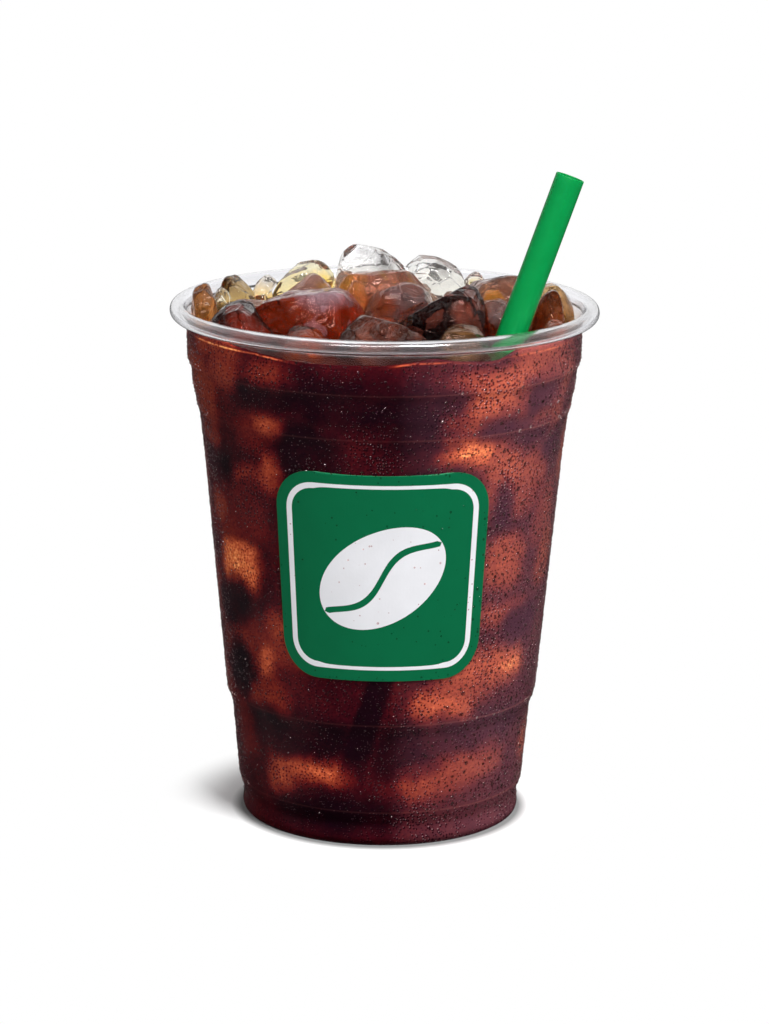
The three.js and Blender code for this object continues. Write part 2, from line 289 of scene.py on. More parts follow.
def finish_piece(obj, materials, replaced=()):
    """Gives a piece its materials and its place on the body."""
    for material in materials:
        obj.data.materials.append(material)
    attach(obj, "root")
    if replaced:
        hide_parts(*replaced)
    return obj


def filleted(points, radius, steps=3):
    """The outline with each inner corner rounded off, as [(radius, height)] in millimetres."""
    rounded = [points[0]]
    for before, corner, after in zip(points, points[1:], points[2:]):
        here = np.array(corner)
        back = np.array(before) - here
        ahead = np.array(after) - here
        back_length, ahead_length = np.linalg.norm(back), np.linalg.norm(ahead)
        reach = min(radius, 0.45 * back_length, 0.45 * ahead_length)
        start = here + back / back_length * reach
        end = here + ahead / ahead_length * reach
        for step in range(steps + 1):
            share = step / steps
            middle = (1 - share) ** 2 * start + 2 * share * (1 - share) * here + share**2 * end
            rounded.append(tuple(middle))
    rounded.append(points[-1])
    return rounded


def arc(centre, radius, from_deg, to_deg, steps):
    """Points along a part of a circle, in millimetres."""
    points = []
    for step in range(steps + 1):
        angle = math.radians(from_deg + (to_deg - from_deg) * step / steps)
        points.append((centre[0] + radius * math.cos(angle), centre[1] + radius * math.sin(angle)))
    return points


def revolve(name, profile, columns):
    """A surface of revolution about Z from [(radius, height)] in millimetres."""
    vertices = []
    rows = []
    for radius, height in profile:
        if radius < 1e-6:
            rows.append([len(vertices)] * columns)
            vertices.append((0, 0, height * MM))
            continue
        rows.append(list(range(len(vertices), len(vertices) + columns)))
        for column in range(columns):
            angle = 2 * math.pi * column / columns
            place = (radius * math.sin(angle), -radius * math.cos(angle), height)
            vertices.append(tuple(MM * value for value in place))
    faces = []
    for low, high in zip(rows, rows[1:]):
        for column in range(columns):
            beside = (column + 1) % columns
            corners = [low[column], low[beside], high[beside], high[column]]
            faces.append(tuple(dict.fromkeys(corners)))
    return link_mesh(name, vertices, faces)


# The cup's outline, read from the CAD cup


def cup_corners():
    return np.array([tuple(vertex.co) for vertex in NODES["cup"].data.vertices]) / MM


def stand_ring():
    """The inner and outer radius of the flat ring that the cup stands on."""
    corners = cup_corners()
    low = corners[corners[:, 2] < 0.01]
    radii = np.hypot(low[:, 0], low[:, 1])
    return float(radii.min()), float(radii.max())


def wall_bends():
    """(radius, height) of each bend of the cup's outer wall, from the foot up."""
    rows = {}
    for x, y, z in cup_corners():
        height = round(float(z), 2)
        rows[height] = max(rows.get(height, 0), math.hypot(x, y))
    outer = stand_ring()[1]
    wall = [(radius, height) for height, radius in sorted(rows.items())
            if height < WALL_TOP and radius > outer + 0.1]
    return [(outer, 0.0), *wall]


WALL = wall_bends()
RIM_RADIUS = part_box("cup")[1].x / MM
CUP_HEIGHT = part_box("cup")[1].z / MM
DRINK_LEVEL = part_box("drink")[1].z / MM
FLOOR_HEIGHT = float(min(z for x, y, z in cup_corners() if math.hypot(x, y) < 0.01))


def wall_radius(height):
    heights = [h for _, h in WALL]
    radii = [r for r, _ in WALL]
    return float(np.interp(height, heights, radii))


def wall_slope(height):
    """How much the wall's radius grows for each millimetre of height."""
    return (wall_radius(height + 0.4) - wall_radius(height - 0.4)) / 0.8


def on_wall(angle, height, lift=0.0):
    """The point on the outer wall at that angle from the front, in metres."""
    slope = wall_slope(height)
    scale = 1 / math.hypot(1, slope)
    radius = wall_radius(height) + lift * scale
    place = (radius * math.sin(angle), -radius * math.cos(angle), height - lift * slope * scale)
    return tuple(MM * value for value in place)


# Node trees

FLOAT, COLOUR, VECTOR = "NodeSocketFloat", "NodeSocketColor", "NodeSocketVector"


def set_input(tree, socket, value):
    """Links the socket where the value is a socket too, and otherwise sets it."""
    if isinstance(value, bpy.types.NodeSocket):
        tree.links.new(value, socket)
    else:
        socket.default_value = value


def add_node(tree, kind, inputs=None, **settings):
    """A node with its settings, and its inputs set to values or linked to sockets."""
    made = tree.nodes.new(kind)
    for name, value in settings.items():
        setattr(made, name, value)
    for name, value in (inputs or {}).items():
        set_input(tree, made.inputs[name], value)
    return made


def math_node(tree, operation, *values, clamp=False):
    made = add_node(tree, "ShaderNodeMath", dict(enumerate(values)),
                    operation=operation, use_clamp=clamp)
    return made.outputs[0]


def vector_math(tree, operation, *values):
    """A vector node's outputs, which are Vector and Value."""
    inputs = dict(enumerate(values))
    return add_node(tree, "ShaderNodeVectorMath", inputs, operation=operation).outputs


def mix_colour(tree, factor, first, second, blend="MIX"):
    made = add_node(tree, "ShaderNodeMix", data_type="RGBA", blend_type=blend)
    for index, value in ((0, factor), (6, first), (7, second)):
        set_input(tree, made.inputs[index], value)
    return made.outputs[2]


def shaded(tree, colour, shade):
    """The colour made darker or lighter by a shade, where 1 leaves it as it is."""
    tone = add_node(tree, "ShaderNodeCombineColor", {"Red": shade, "Green": shade, "Blue": shade})
    return mix_colour(tree, 1.0, colour, tone.outputs[0], blend="MULTIPLY")


def map_range(tree, value, from_range=(0.0, 1.0), to_range=(0.0, 1.0), **settings):
    """The value moved from one range to another, and held at its ends."""
    made = add_node(tree, "ShaderNodeMapRange", {
        "Value": value, "From Min": from_range[0], "From Max": from_range[1],
        "To Min": to_range[0], "To Max": to_range[1]}, **settings)
    return made.outputs[0]


def colour_ramp(tree, factor, stops):
    made = tree.nodes.new("ShaderNodeValToRGB")
    ramp = made.color_ramp
    while len(ramp.elements) < len(stops):
        ramp.elements.new(0.5)
    for element, (place, colour) in zip(ramp.elements, stops):
        element.position = place
        element.color = colour
    tree.links.new(factor, made.inputs[0])
    return made.outputs[0]


def place_on(tree):
    """Where a point of the piece is, in metres."""
    return tree.nodes.new("ShaderNodeTexCoord").outputs["Object"]


def height_on(tree, place):
    return add_node(tree, "ShaderNodeSeparateXYZ", {"Vector": place}).outputs["Z"]


def noise_texture(tree, place, scale, detail=2.0, **more):
    """A noise texture's outputs, which are Fac and Color."""
    inputs = {"Vector": place, "Scale": scale, "Detail": detail}
    inputs.update({name.title(): value for name, value in more.items()})
    return add_node(tree, "ShaderNodeTexNoise", inputs).outputs


def cell_texture(tree, place, scale, feature="F1", **more):
    """The outputs of a texture of cells, which are Distance, Color and Position."""
    inputs = {"Vector": place, "Scale": scale}
    inputs.update({name.title(): value for name, value in more.items()})
    return add_node(tree, "ShaderNodeTexVoronoi", inputs, feature=feature).outputs


def bumps(tree, height, strength, distance):
    """The surface's normal, tilted by a height."""
    inputs = {"Strength": strength, "Distance": distance, "Height": height}
    return add_node(tree, "ShaderNodeBump", inputs).outputs[0]


def new_group(name, inputs, outputs):
    """A shader node group, the sockets that it is given and those that it puts out.

    Its sockets are named by [(name, kind, default)] and [(name, kind)].
    """
    group = bpy.data.node_groups.new(name, "ShaderNodeTree")
    for label, kind, default in inputs:
        socket = group.interface.new_socket(label, in_out="INPUT", socket_type=kind)
        socket.default_value = default
    for label, kind in outputs:
        group.interface.new_socket(label, in_out="OUTPUT", socket_type=kind)
    entry = group.nodes.new("NodeGroupInput")
    leave = group.nodes.new("NodeGroupOutput")
    return group, entry.outputs, leave.inputs


def place_group(tree, group, **values):
    """The outputs of a group that is placed in a material with its own values."""
    made = add_node(tree, "ShaderNodeGroup", node_tree=group)
    for name, value in values.items():
        set_input(tree, made.inputs[name.replace("_", " ").title()], value)
    return made.outputs


def new_material(name):
    material = bpy.data.materials.new(name)
    material.use_nodes = True
    material.node_tree.nodes.clear()
    return material, material.node_tree


def principled(tree, inputs):
    return add_node(tree, "ShaderNodeBsdfPrincipled", inputs).outputs[0]


def mix_shaders(tree, share, first, second):
    return add_node(tree, "ShaderNodeMixShader", {0: share, 1: first, 2: second}).outputs[0]


def show(tree, shader):
    output = tree.nodes.new("ShaderNodeOutputMaterial")
    tree.links.new(shader, output.inputs["Surface"])


def let_lamps_through(tree, glass, tint):
    """Shows the glass, but lets the lamps' light pass through it to what is behind."""
    path = tree.nodes.new("ShaderNodeLightPath")
    clear = add_node(tree, "ShaderNodeBsdfTransparent", {"Color": tint})
    show(tree, mix_shaders(tree, path.outputs["Is Shadow Ray"], glass, clear.outputs[0]))


# Effects that several materials use


def build_mist():
    """Fine condensation: the height of tiny bumps and a patchy cover, by scale in 1/m."""
    group, given, result = new_group(
        "Fine Mist",
        [("Scale", FLOAT, 2200.0), ("Patch Scale", FLOAT, 60.0)],
        [("Height", FLOAT), ("Cover", FLOAT)],
    )
    place = place_on(group)
    cells = cell_texture(group, place, given["Scale"])
    dome_height = math_node(group, "SUBTRACT", 0.75, cells["Distance"], clamp=True)
    patches = noise_texture(group, place, given["Patch Scale"], 3.0)
    group.links.new(dome_height, result["Height"])
    group.links.new(patches["Fac"], result["Cover"])
    return group


def build_drop_pattern():
    """Tiny drops, painted into what shows through them: dark dots of shade, and glints beside
    them.
    """
    group, given, result = new_group(
        "Drop Pattern",
        [("Scale", FLOAT, 900.0), ("Size", FLOAT, 0.4)],
        [("Dots", FLOAT), ("Glints", FLOAT)],
    )
    place = place_on(group)
    sway = noise_texture(group, place, 90.0, 1.0)["Fac"]
    size = math_node(group, "MULTIPLY", given["Size"],
                     math_node(group, "MULTIPLY_ADD", sway, 1.6, 0.2))
    beside = vector_math(group, "SUBTRACT", place, GLINT_OFFSET)["Vector"]
    for vector, share, label in ((place, 1.0, "Dots"), (beside, 0.55, "Glints")):
        cells = cell_texture(group, vector, given["Scale"], randomness=0.7)
        reach = math_node(group, "MULTIPLY", size, share)
        inside = math_node(group, "SUBTRACT", reach, cells["Distance"])
        mask = math_node(group, "MULTIPLY", inside, 6.0, clamp=True)
        group.links.new(mask, result[label])
    return group


def build_ice_tint():
    """The colour inside ice: foot, crest, a painted spot, facets painted light and dark, and
    cloud.
    """
    group, given, result = new_group(
        "Ice Tint",
        [("Foot", COLOUR, (1, 1, 1, 1)),
         ("Crest", COLOUR, (1, 1, 1, 1)),
         ("Spot", COLOUR, (1, 1, 1, 1)),
         ("Spot Place", VECTOR, (0, 0, 0)),
         ("Spot Size", FLOAT, 0.004),
         ("Low", FLOAT, 0.112),
         ("High", FLOAT, 0.124),
         ("Facets", FLOAT, 0.5),
         ("Facet Scale", FLOAT, 260.0),
         ("Cloud", FLOAT, 0.3)],
        [("Color", COLOUR)],
    )
    place = place_on(group)
    blotches = noise_texture(group, place, 260.0, 4.0, roughness=0.6)["Fac"]
    wander = math_node(group, "SUBTRACT", blotches, 0.5)
    wander = math_node(group, "MULTIPLY", wander, TINT_WANDER * MM)
    height = math_node(group, "ADD", height_on(group, place), wander)
    climb = map_range(group, height, (given["Low"], given["High"]))
    body = mix_colour(group, climb, given["Foot"], given["Crest"])

    # The spot: painted glow on most pieces, painted sheen on one and painted shade on a few.
    away = vector_math(group, "DISTANCE", place, given["Spot Place"])["Value"]
    away = math_node(group, "ADD", away, math_node(group, "MULTIPLY", wander, 0.5))
    near = math_node(group, "DIVIDE", away, given["Spot Size"])
    near = math_node(group, "SUBTRACT", 1.5, near, clamp=True)
    body = mix_colour(group, near, body, given["Spot"])

    # Broken facets painted darker and lighter, some lit in the spot's colour, for light bent
    # inside.
    bend = noise_texture(group, place, 220.0, 1.0)["Color"]
    bend = add_node(group, "ShaderNodeVectorMath", {0: bend, "Scale": FACET_BEND * MM},
                    operation="SCALE").outputs[0]
    bent = vector_math(group, "ADD", place, bend)["Vector"]
    cells = cell_texture(group, bent, given["Facet Scale"])
    draw = add_node(group, "ShaderNodeSeparateColor", {"Color": cells["Color"]}).outputs
    darkest = math_node(group, "SUBTRACT", 1.0, given["Facets"])
    lightest = math_node(group, "MULTIPLY_ADD", given["Facets"], 0.7, 1.0)
    body = shaded(group, body, map_range(group, draw["Red"], to_range=(darkest, lightest)))
    lit = math_node(group, "GREATER_THAN", draw["Green"], 0.8)
    lit = math_node(group, "MULTIPLY", lit, given["Facets"])
    body = mix_colour(group, lit, body, given["Spot"])

    streaks = noise_texture(group, place, 700.0, 5.0, distortion=1.5)["Fac"]
    cloud = map_range(group, streaks, (0.45, 0.75))
    cloud = math_node(group, "MULTIPLY", cloud, given["Cloud"])
    body = mix_colour(group, cloud, body, srgb(240, 228, 226))
    group.links.new(body, result["Color"])
    return group


def build_melt_relief():
    """The height of ice in metres: flat facets at small tilts, with melted ripples on them."""
    group, given, result = new_group(
        "Melt Relief",
        [("Facet Scale", FLOAT, 200.0), ("Tilt", FLOAT, 0.5), ("Ripple Scale", FLOAT, 420.0),
         ("Ripple", FLOAT, 0.0004), ("Seed", FLOAT, 0.0)],
        [("Height", FLOAT)],
    )
    place = place_on(group)
    cells = cell_texture(
        group, place, given["Facet Scale"], feature="SMOOTH_F1", smoothness=0.12)
    from_middle = vector_math(group, "SUBTRACT", place, cells["Position"])["Vector"]
    lean = vector_math(group, "SUBTRACT", cells["Color"], (0.5, 0.5, 0.5))["Vector"]
    facet = vector_math(group, "DOT_PRODUCT", from_middle, lean)["Value"]
    facet = math_node(group, "MULTIPLY", facet, given["Tilt"])
    ripples = add_node(group, "ShaderNodeTexNoise", {
        "Vector": place, "W": given["Seed"], "Scale": given["Ripple Scale"],
        "Detail": 2.0, "Distortion": 0.8}, noise_dimensions="4D").outputs["Fac"]
    ripple = math_node(group, "MULTIPLY", ripples, given["Ripple"])
    group.links.new(math_node(group, "ADD", facet, ripple), result["Height"])
    return group


MIST = build_mist()
DROP_PATTERN = build_drop_pattern()
ICE_TINT = build_ice_tint()
MELT_RELIEF = build_melt_relief()

# Materials


def misted_plastic():
    """The cup's wall, finely misted where the cold drink chills it."""
    material, tree = new_material("clear_plastic_misted")
    mist = place_group(tree, MIST, scale=1900.0, patch_scale=70.0)
    roughness = map_range(tree, mist["Cover"], (0.0, 0.7), (0.05, 0.24))
    glass = principled(tree, {
        "Base Color": CLEAR_PLASTIC, "Roughness": roughness, "IOR": PLASTIC_IOR,
        "Specular Tint": (0.3, 0.1, 0.12, 1), "Transmission Weight": 1.0,
        "Normal": bumps(tree, mist["Height"], 0.12, 0.1 * MM)})
    let_lamps_through(tree, glass, PLASTIC_SHADE)
    return material


def rim_plastic():
    """The rolled rim, clear and glossy, with faint streaks round it."""
    material, tree = new_material("clear_plastic_rim")
    streaks = noise_texture(tree, place_on(tree), 240.0, 3.0)["Fac"]
    glass = principled(tree, {
        "Base Color": CLEAR_PLASTIC, "IOR": PLASTIC_IOR, "Transmission Weight": 1.0,
        "Roughness": math_node(tree, "MULTIPLY_ADD", streaks, 0.1, 0.05)})
    let_lamps_through(tree, glass, PLASTIC_SHADE)
    return material


def coffee_colour(tree, light):
    """The coffee's colour by how much light comes through it, from black to gold."""
    return colour_ramp(tree, light, [(place, srgb(*tone)) for place, tone in COFFEE_TONES])


def painted_bend_highlights(tree, height):
    """1 along a thin painted highlight at each bend of the cup's wall, where it bends the light.
    """
    total = 0.0
    for bend in BEND_HIGHLIGHT_HEIGHTS:
        away = math_node(tree, "ABSOLUTE", math_node(tree, "SUBTRACT", height, bend * MM))
        line = math_node(tree, "MULTIPLY_ADD", away, -1 / (BEND_HIGHLIGHT_HALF_WIDTH * MM), 1.0,
                         clamp=True)
        total = math_node(tree, "ADD", line, total)
    return total


def coffee_wall():
    """Coffee behind the wall: dark, with painted light where sunk ice leaves only a thin layer."""
    material, tree = new_material("cold_brew_behind_wall")
    place = place_on(tree)
    lit = add_node(tree, "ShaderNodeAttribute", attribute_name="painted_ice_glow").outputs["Fac"]
    mist_and_sheen = add_node(tree, "ShaderNodeAttribute", attribute_name="mist_and_sheen").outputs["Fac"]
    murk = noise_texture(tree, place, 75.0, 3.0, roughness=0.5)["Fac"]
    murk = math_node(tree, "MULTIPLY", math_node(tree, "SUBTRACT", murk, 0.5), 0.30)
    grain = noise_texture(tree, place, 1500.0, 2.0, roughness=0.6)["Fac"]
    grain = math_node(tree, "SUBTRACT", grain, 0.5)
    grain = math_node(tree, "MULTIPLY", grain, math_node(tree, "MULTIPLY_ADD", lit, 0.7, 0.10))
    light = math_node(tree, "ADD", math_node(tree, "ADD", lit, murk), grain, clamp=True)

    drops = place_group(tree, DROP_PATTERN, scale=1350.0, size=0.36)
    # Painted shade: each drop's dot darkens the coffee's light.
    dim = math_node(tree, "MULTIPLY", drops["Dots"],
                    math_node(tree, "MULTIPLY_ADD", light, 0.6, 0.03))
    light = math_node(tree, "SUBTRACT", light, dim, clamp=True)
    colour = coffee_colour(tree, light)

    # Mist with a painted sheen of reflected light, pinkish grey, lighter where the coffee is lit.
    misty_sheen = math_node(tree, "MULTIPLY", mist_and_sheen, math_node(tree, "MULTIPLY_ADD", murk, 2.0, 1.0))
    misty_sheen = math_node(tree, "MULTIPLY", misty_sheen,
                    math_node(tree, "MULTIPLY_ADD", drops["Dots"], -0.8, 1.0))
    misty_sheen_colour = mix_colour(tree, light, srgb(136, 84, 104), srgb(196, 130, 108))
    colour = mix_colour(tree, misty_sheen, colour, misty_sheen_colour)

    # A faint painted highlight along the wall's bends, stronger where the sheen is.
    highlight_share = math_node(tree, "MULTIPLY_ADD", mist_and_sheen, 0.7, 0.03)
    line = math_node(tree, "MULTIPLY", painted_bend_highlights(tree, height_on(tree, place)), highlight_share)
    colour = mix_colour(tree, line, colour, srgb(180, 104, 92))
    # Painted glints beside the drops, stronger where the sheen is.
    glint = math_node(tree, "MULTIPLY", drops["Glints"],
                      math_node(tree, "MULTIPLY_ADD", mist_and_sheen, 1.9, 0.1), clamp=True)
    colour = mix_colour(tree, glint, colour, srgb(214, 176, 176))
    # A faint emission of the coffee's colour: a painted glow.
    show(tree, principled(tree, {
        "Base Color": colour, "Roughness": 0.7, "Specular IOR Level": 0.0,
        "Emission Color": colour, "Emission Strength": 0.12}))
    return material


def coffee_top():
    """The open surface of the coffee between the ice."""
    material, tree = new_material("cold_brew_surface")
    place = place_on(tree)
    swirl = noise_texture(tree, place, 120.0, 3.0)["Fac"]
    ripple = noise_texture(tree, place, 180.0, 2.0)["Fac"]
    show(tree, principled(tree, {
        "Base Color": mix_colour(tree, swirl, srgb(22, 6, 5), srgb(66, 24, 12)),
        "Roughness": 0.04, "IOR": 1.34, "Normal": bumps(tree, ripple, 0.15, 0.4 * MM)}))
    return material


def straw_plastic():
    """Opaque green plastic, very slightly mottled."""
    material, tree = new_material("straw_plastic")
    mottle = noise_texture(tree, place_on(tree), 320.0, 4.0, roughness=0.6)["Fac"]
    show(tree, principled(tree, {
        "Base Color": mix_colour(tree, mottle, srgb(0, 132, 62), srgb(0, 146, 72)),
        "Roughness": 0.42, "Specular IOR Level": 0.1, "Subsurface Weight": 0.1,
        "Subsurface Radius": (0.2, 1.0, 0.4), "Subsurface Scale": 0.8 * MM,
        "Normal": bumps(tree, mottle, 0.05, 0.1 * MM)}))
    return material


def badge_ink(name, colour):
    """Printed ink, very slightly mottled, under fine mist."""
    material, tree = new_material(name)
    mist = place_group(tree, MIST, scale=1500.0, patch_scale=140.0)
    shade = math_node(tree, "MULTIPLY_ADD", mist["Cover"], 0.16, 0.92)
    show(tree, principled(tree, {
        "Base Color": shaded(tree, colour, shade), "Roughness": 0.4, "Specular IOR Level": 0.12,
        "Normal": bumps(tree, mist["Height"], 0.1, 0.1 * MM)}))
    return material


def water(name, colour):
    """Clear water, tinted dark red as painted shade: each drop darkens what shows through it."""
    material, tree = new_material(name)
    change = noise_texture(tree, place_on(tree), 1400.0)["Fac"]
    drop = principled(tree, {
        "Base Color": mix_colour(tree, change, colour, srgb(220, 190, 190)),
        "Roughness": 0.08, "IOR": 1.33, "Transmission Weight": 1.0})
    let_lamps_through(tree, drop, (0.8, 0.78, 0.78, 1))
    return material


def ice_finish(name, look):
    """Wet ice, tinted by coffee, clearer or cloudier by its look."""
    material, tree = new_material("wet_" + name)
    tint = place_group(
        tree, ICE_TINT, foot=srgb(*look["foot"]), crest=srgb(*look["crest"]),
        spot=srgb(*look["spot"]), spot_place=tuple(MM * v for v in look["spot_place"]),
        spot_size=look["spot_size"] * MM, low=DRINK_LEVEL * MM, high=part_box(name)[1].z,
        facets=look["facets"], cloud=look["cloud"])
    relief = place_group(tree, MELT_RELIEF, facet_scale=190.0, tilt=look["tilt"],
                         ripple_scale=look["ripple"], ripple=0.4 * MM, seed=look["seed"])
    ice = principled(tree, {
        "Base Color": tint["Color"], "Roughness": look["roughness"], "IOR": look["bend"],
        "Specular Tint": look["sheen"], "Transmission Weight": look["clarity"],
        "Normal": bumps(tree, relief["Height"], 1.0, 1.0)})
    let_lamps_through(tree, ice, srgb(*look["crest"]))
    return material


# Cup


def cup_profile():
    """(radius, height) from the middle of the underside, up the outside and down the inside."""
    rim_centre = (RIM_RADIUS - RIM_TUBE_RADIUS, CUP_HEIGHT - RIM_TUBE_RADIUS)
    stand_inner, stand_outer = stand_ring()
    underside = [(0, FLOOR_HEIGHT), (stand_inner - FLOOR_BEND, FLOOR_HEIGHT),
                 (stand_inner, FLOOR_HEIGHT - FLOOR_BEND), (stand_inner, 0)]
    wall = filleted(WALL, CORNER_RADIUS)
    roll_inside = arc(rim_centre, RIM_TUBE_RADIUS - CUP_SHEET, 180, ROLL_END_DEG, 20)
    roll_outside = arc(rim_centre, RIM_TUBE_RADIUS, ROLL_END_DEG, 180, 26)
    inner = [(radius - CUP_SHEET, height) for radius, height in reversed(wall) if height > 1.0]
    ring_inside = stand_inner + CUP_SHEET
    top = FLOOR_HEIGHT + CUP_SHEET
    floor = [(stand_outer, CUP_SHEET), (ring_inside, CUP_SHEET), (ring_inside, top - FLOOR_BEND),
             (ring_inside - FLOOR_BEND, top), (0, top)]
    return [*underside, *wall, *roll_inside, *roll_outside, *inner, *floor]


def build_cup():
    cup = revolve("cup_shell", cup_profile(), CUP_STEPS)
    finish_piece(cup, [misted_plastic(), rim_plastic()], ["cup"])
    for polygon in cup.data.polygons:
        polygon.material_index = 1 if polygon.center.z > WALL[-1][1] * MM else 0


# Drink


def turned(u, v, lean_deg):
    cosine, sine = math.cos(math.radians(lean_deg)), math.sin(math.radians(lean_deg))
    return u * cosine + v * sine, v * cosine - u * sine


def face_distance(u, v, width, height, rounding):
    """How far a point is outside a block's rounded face."""
    across = np.abs(u) - width / 2 + rounding
    up = np.abs(v) - height / 2 + rounding
    outside = np.hypot(np.maximum(across, 0), np.maximum(up, 0))
    return np.maximum(outside + np.minimum(np.maximum(across, up), 0) - rounding, 0)


def hidden_side_ice():
    """Painted glow of sunk ice round the sides and the back, at seeded sizes and places."""
    draw = random.Random(4)
    blocks = []
    for row in range(HIDDEN_SIDE_ROWS):
        for column in range(HIDDEN_SIDE_COLUMNS):
            span = 360 - 2 * HIDDEN_SIDE_FROM_DEG
            share = (column + 0.5 * (row % 2) + draw.uniform(0.1, 0.7)) / HIDDEN_SIDE_COLUMNS
            angle = HIDDEN_SIDE_FROM_DEG + span * share
            climb = (row + draw.uniform(0.2, 0.8)) / HIDDEN_SIDE_ROWS
            height = HIDDEN_SIDE_LOWEST + HIDDEN_SIDE_RANGE * climb
            blocks.append((
                angle if angle < 180 else angle - 360, height, draw.uniform(7, 22),
                draw.uniform(4, 13), draw.uniform(-24, 24), draw.uniform(0.4, 2.6),
                draw.uniform(0.36, 0.82)))
    return blocks


def store(obj, name, values):
    """Keeps a value for each corner of the mesh, for its material to read."""
    attribute = obj.data.attributes.new(name, "FLOAT", "POINT")
    attribute.data.foreach_set("value", values.astype(np.float32))


def angles_of(places):
    """The angle of each place from the front, in radians."""
    return np.arctan2(places[:, 0], -places[:, 1])


def radii_of(places):
    """How far each place is from the cup's axis, in millimetres."""
    return np.hypot(places[:, 0], places[:, 1]) / MM


def arc_offset(angles, radii, angle_deg):
    """Millimetres round the wall from the given angle, for each place."""
    away = angles - math.radians(angle_deg)
    away = (away + math.pi) % (2 * math.pi) - math.pi
    return away * radii


def painted_ice_glow(places):
    """Painted light that the sunk ice sends through the coffee in front of it, 0 to 1."""
    angles, radii, heights = angles_of(places), radii_of(places), places[:, 2] / MM
    along, upward = np.zeros(len(places)), np.zeros(len(places))
    for sway in (DRIFT, RAGGED):
        moves = np.array([noise.noise_vector(Vector(p) * sway["per_metre"]) for p in places])
        along += sway["along"] * moves[:, 0]
        upward += sway["up"] * moves[:, 1]
    dark = np.full(len(places), 1.0)
    light = np.full(len(places), UNLIT_COFFEE)
    for angle, height, width, tall, lean, gap, glow in SUNK_ICE + hidden_side_ice():
        u = arc_offset(angles, radii, angle) + along
        v = heights - height + upward
        u, v = turned(u, v, lean)
        rounding = min(BLOCK_ROUNDING, tall / 2.05, width / 2.05)
        beside = face_distance(u, v, width, tall, rounding)
        slant = 0.8 * np.hypot(u / width, v / tall)
        path = np.hypot(gap + slant, beside)
        light = np.maximum(light, glow * np.exp(-(path - gap) / COFFEE_CLEARNESS))
    # Painted shade where nothing light stands behind the wall.
    for angle, height, width, tall in DARK_PLACES:
        u = arc_offset(angles, radii, angle) + 2 * along
        v = heights - height + 2 * upward
        beside = face_distance(u, v, width, tall, min(width, tall) / 2.1)
        left = DARK_LEFT + (1 - DARK_LEFT) * np.clip(beside / DARK_FADE, 0, 1)
        dark = np.minimum(dark, left)
    return light * dark


def mist_and_sheen_cover(places):
    """How thick the mist and its painted sheen are on the wall, 0 to 1, by the angle round the
    cup.
    """
    angles = np.degrees(angles_of(places))
    right = np.clip((angles - MIST_AND_SHEEN["from_deg"]) / (MIST_AND_SHEEN["to_deg"] - MIST_AND_SHEEN["from_deg"]), 0, 1)
    left = np.clip((MIST_AND_SHEEN["left_from_deg"] - angles) / MIST_AND_SHEEN["left_fade_deg"], 0, 1)
    behind = (np.abs(angles) - MIST_AND_SHEEN["behind_from_deg"]) / MIST_AND_SHEEN["behind_fade_deg"]
    behind = np.clip(behind, 0, 1)
    front = MIST_AND_SHEEN["right"] * right**0.8 + MIST_AND_SHEEN["left"] * left
    return front * (1 - behind) + MIST_AND_SHEEN["behind"] * behind


def straw_shade(places):
    """1 where the straw's foot stands behind the wall as painted shade, and 0 elsewhere."""
    strip = STRAW_STRIP
    (low_angle, low), (high_angle, high) = strip["low"], strip["high"]
    climb = (places[:, 2] / MM - low) / (high - low)
    middle = low_angle + (high_angle - low_angle) * climb
    away = np.abs(angles_of(places) - np.radians(middle)) * radii_of(places)
    across = np.clip((strip["half_width"] + strip["edge"] - away) / (2 * strip["edge"]), 0, 1)
    foot = np.clip((climb + strip["below"]) / strip["end"], 0, 1)
    head = np.clip((strip["above"] - climb) / strip["end"], 0, 1)
    return across * foot * head


def drink_rows():
    """Heights in millimetres of the even rows up the wall, to just below the surface."""
    top = DRINK_LEVEL - 1.0
    count = int((top - 1.0) / DRINK_ROW_HEIGHT)
    return [1.0 + (top - 1.0) * row / count for row in range(count + 1)]


def film_rows(angle_deg):
    """Heights of the last rows at that angle: the painted highlight's, then the film's top."""
    top = float(np.interp(angle_deg, [a for a, _ in FILM_TOP], [h for _, h in FILM_TOP]))
    gold = min(top - FILM_ABOVE_HIGHLIGHT, PAINTED_EDGE_HIGHLIGHT_HIGHEST)
    return [*(gold + offset for offset in PAINTED_EDGE_HIGHLIGHT_ROWS), top]


def smooth_wall_radius(height):
    """The wall's radius with the corners eased, for the coffee's side."""
    reach = 0.5
    return sum(wall_radius(height + reach * k) for k in (-1, 0, 1)) / 3


def surface_rise(x, y, ice_points):
    """How far the coffee climbs the ice and the wall at a place on its surface."""
    radius = math.hypot(x, y)
    edge = wall_radius(DRINK_LEVEL) - CUP_SHEET
    rise = MENISCUS_RISE * math.exp(-max(edge - radius, 0) / MENISCUS_WIDTH)
    _, _, away = ice_points.find(Vector((x * MM, y * MM, DRINK_LEVEL * MM)))
    return rise + ICE_MENISCUS_RISE * math.exp(-(away / MM) / ICE_MENISCUS_WIDTH)


def waterline_points():
    """Points where the coffee's surface meets the ice, to find what is beside a place."""
    points = []
    for name, obj in NODES.items():
        if name.startswith("ice_"):
            points += cut_points(obj.data, DRINK_LEVEL * MM)
    tree = KDTree(len(points))
    for index, point in enumerate(points):
        tree.insert(point, index)
    tree.balance()
    return tree


def cut_points(mesh, height):
    """Points along the line where a mesh crosses that height, half a millimetre apart."""
    points = []
    for polygon in mesh.polygons:
        crossings = []
        corners = [mesh.vertices[i].co for i in polygon.vertices]
        for first, second in zip(corners, corners[1:] + corners[:1]):
            if (first.z - height) * (second.z - height) < 0:
                share = (height - first.z) / (second.z - first.z)
                crossings.append(first.lerp(second, share))
        if len(crossings) == 2:
            steps = max(1, int((crossings[1] - crossings[0]).length / (0.5 * MM)))
            points += [crossings[0].lerp(crossings[1], k / steps) for k in range(steps + 1)]
    return points


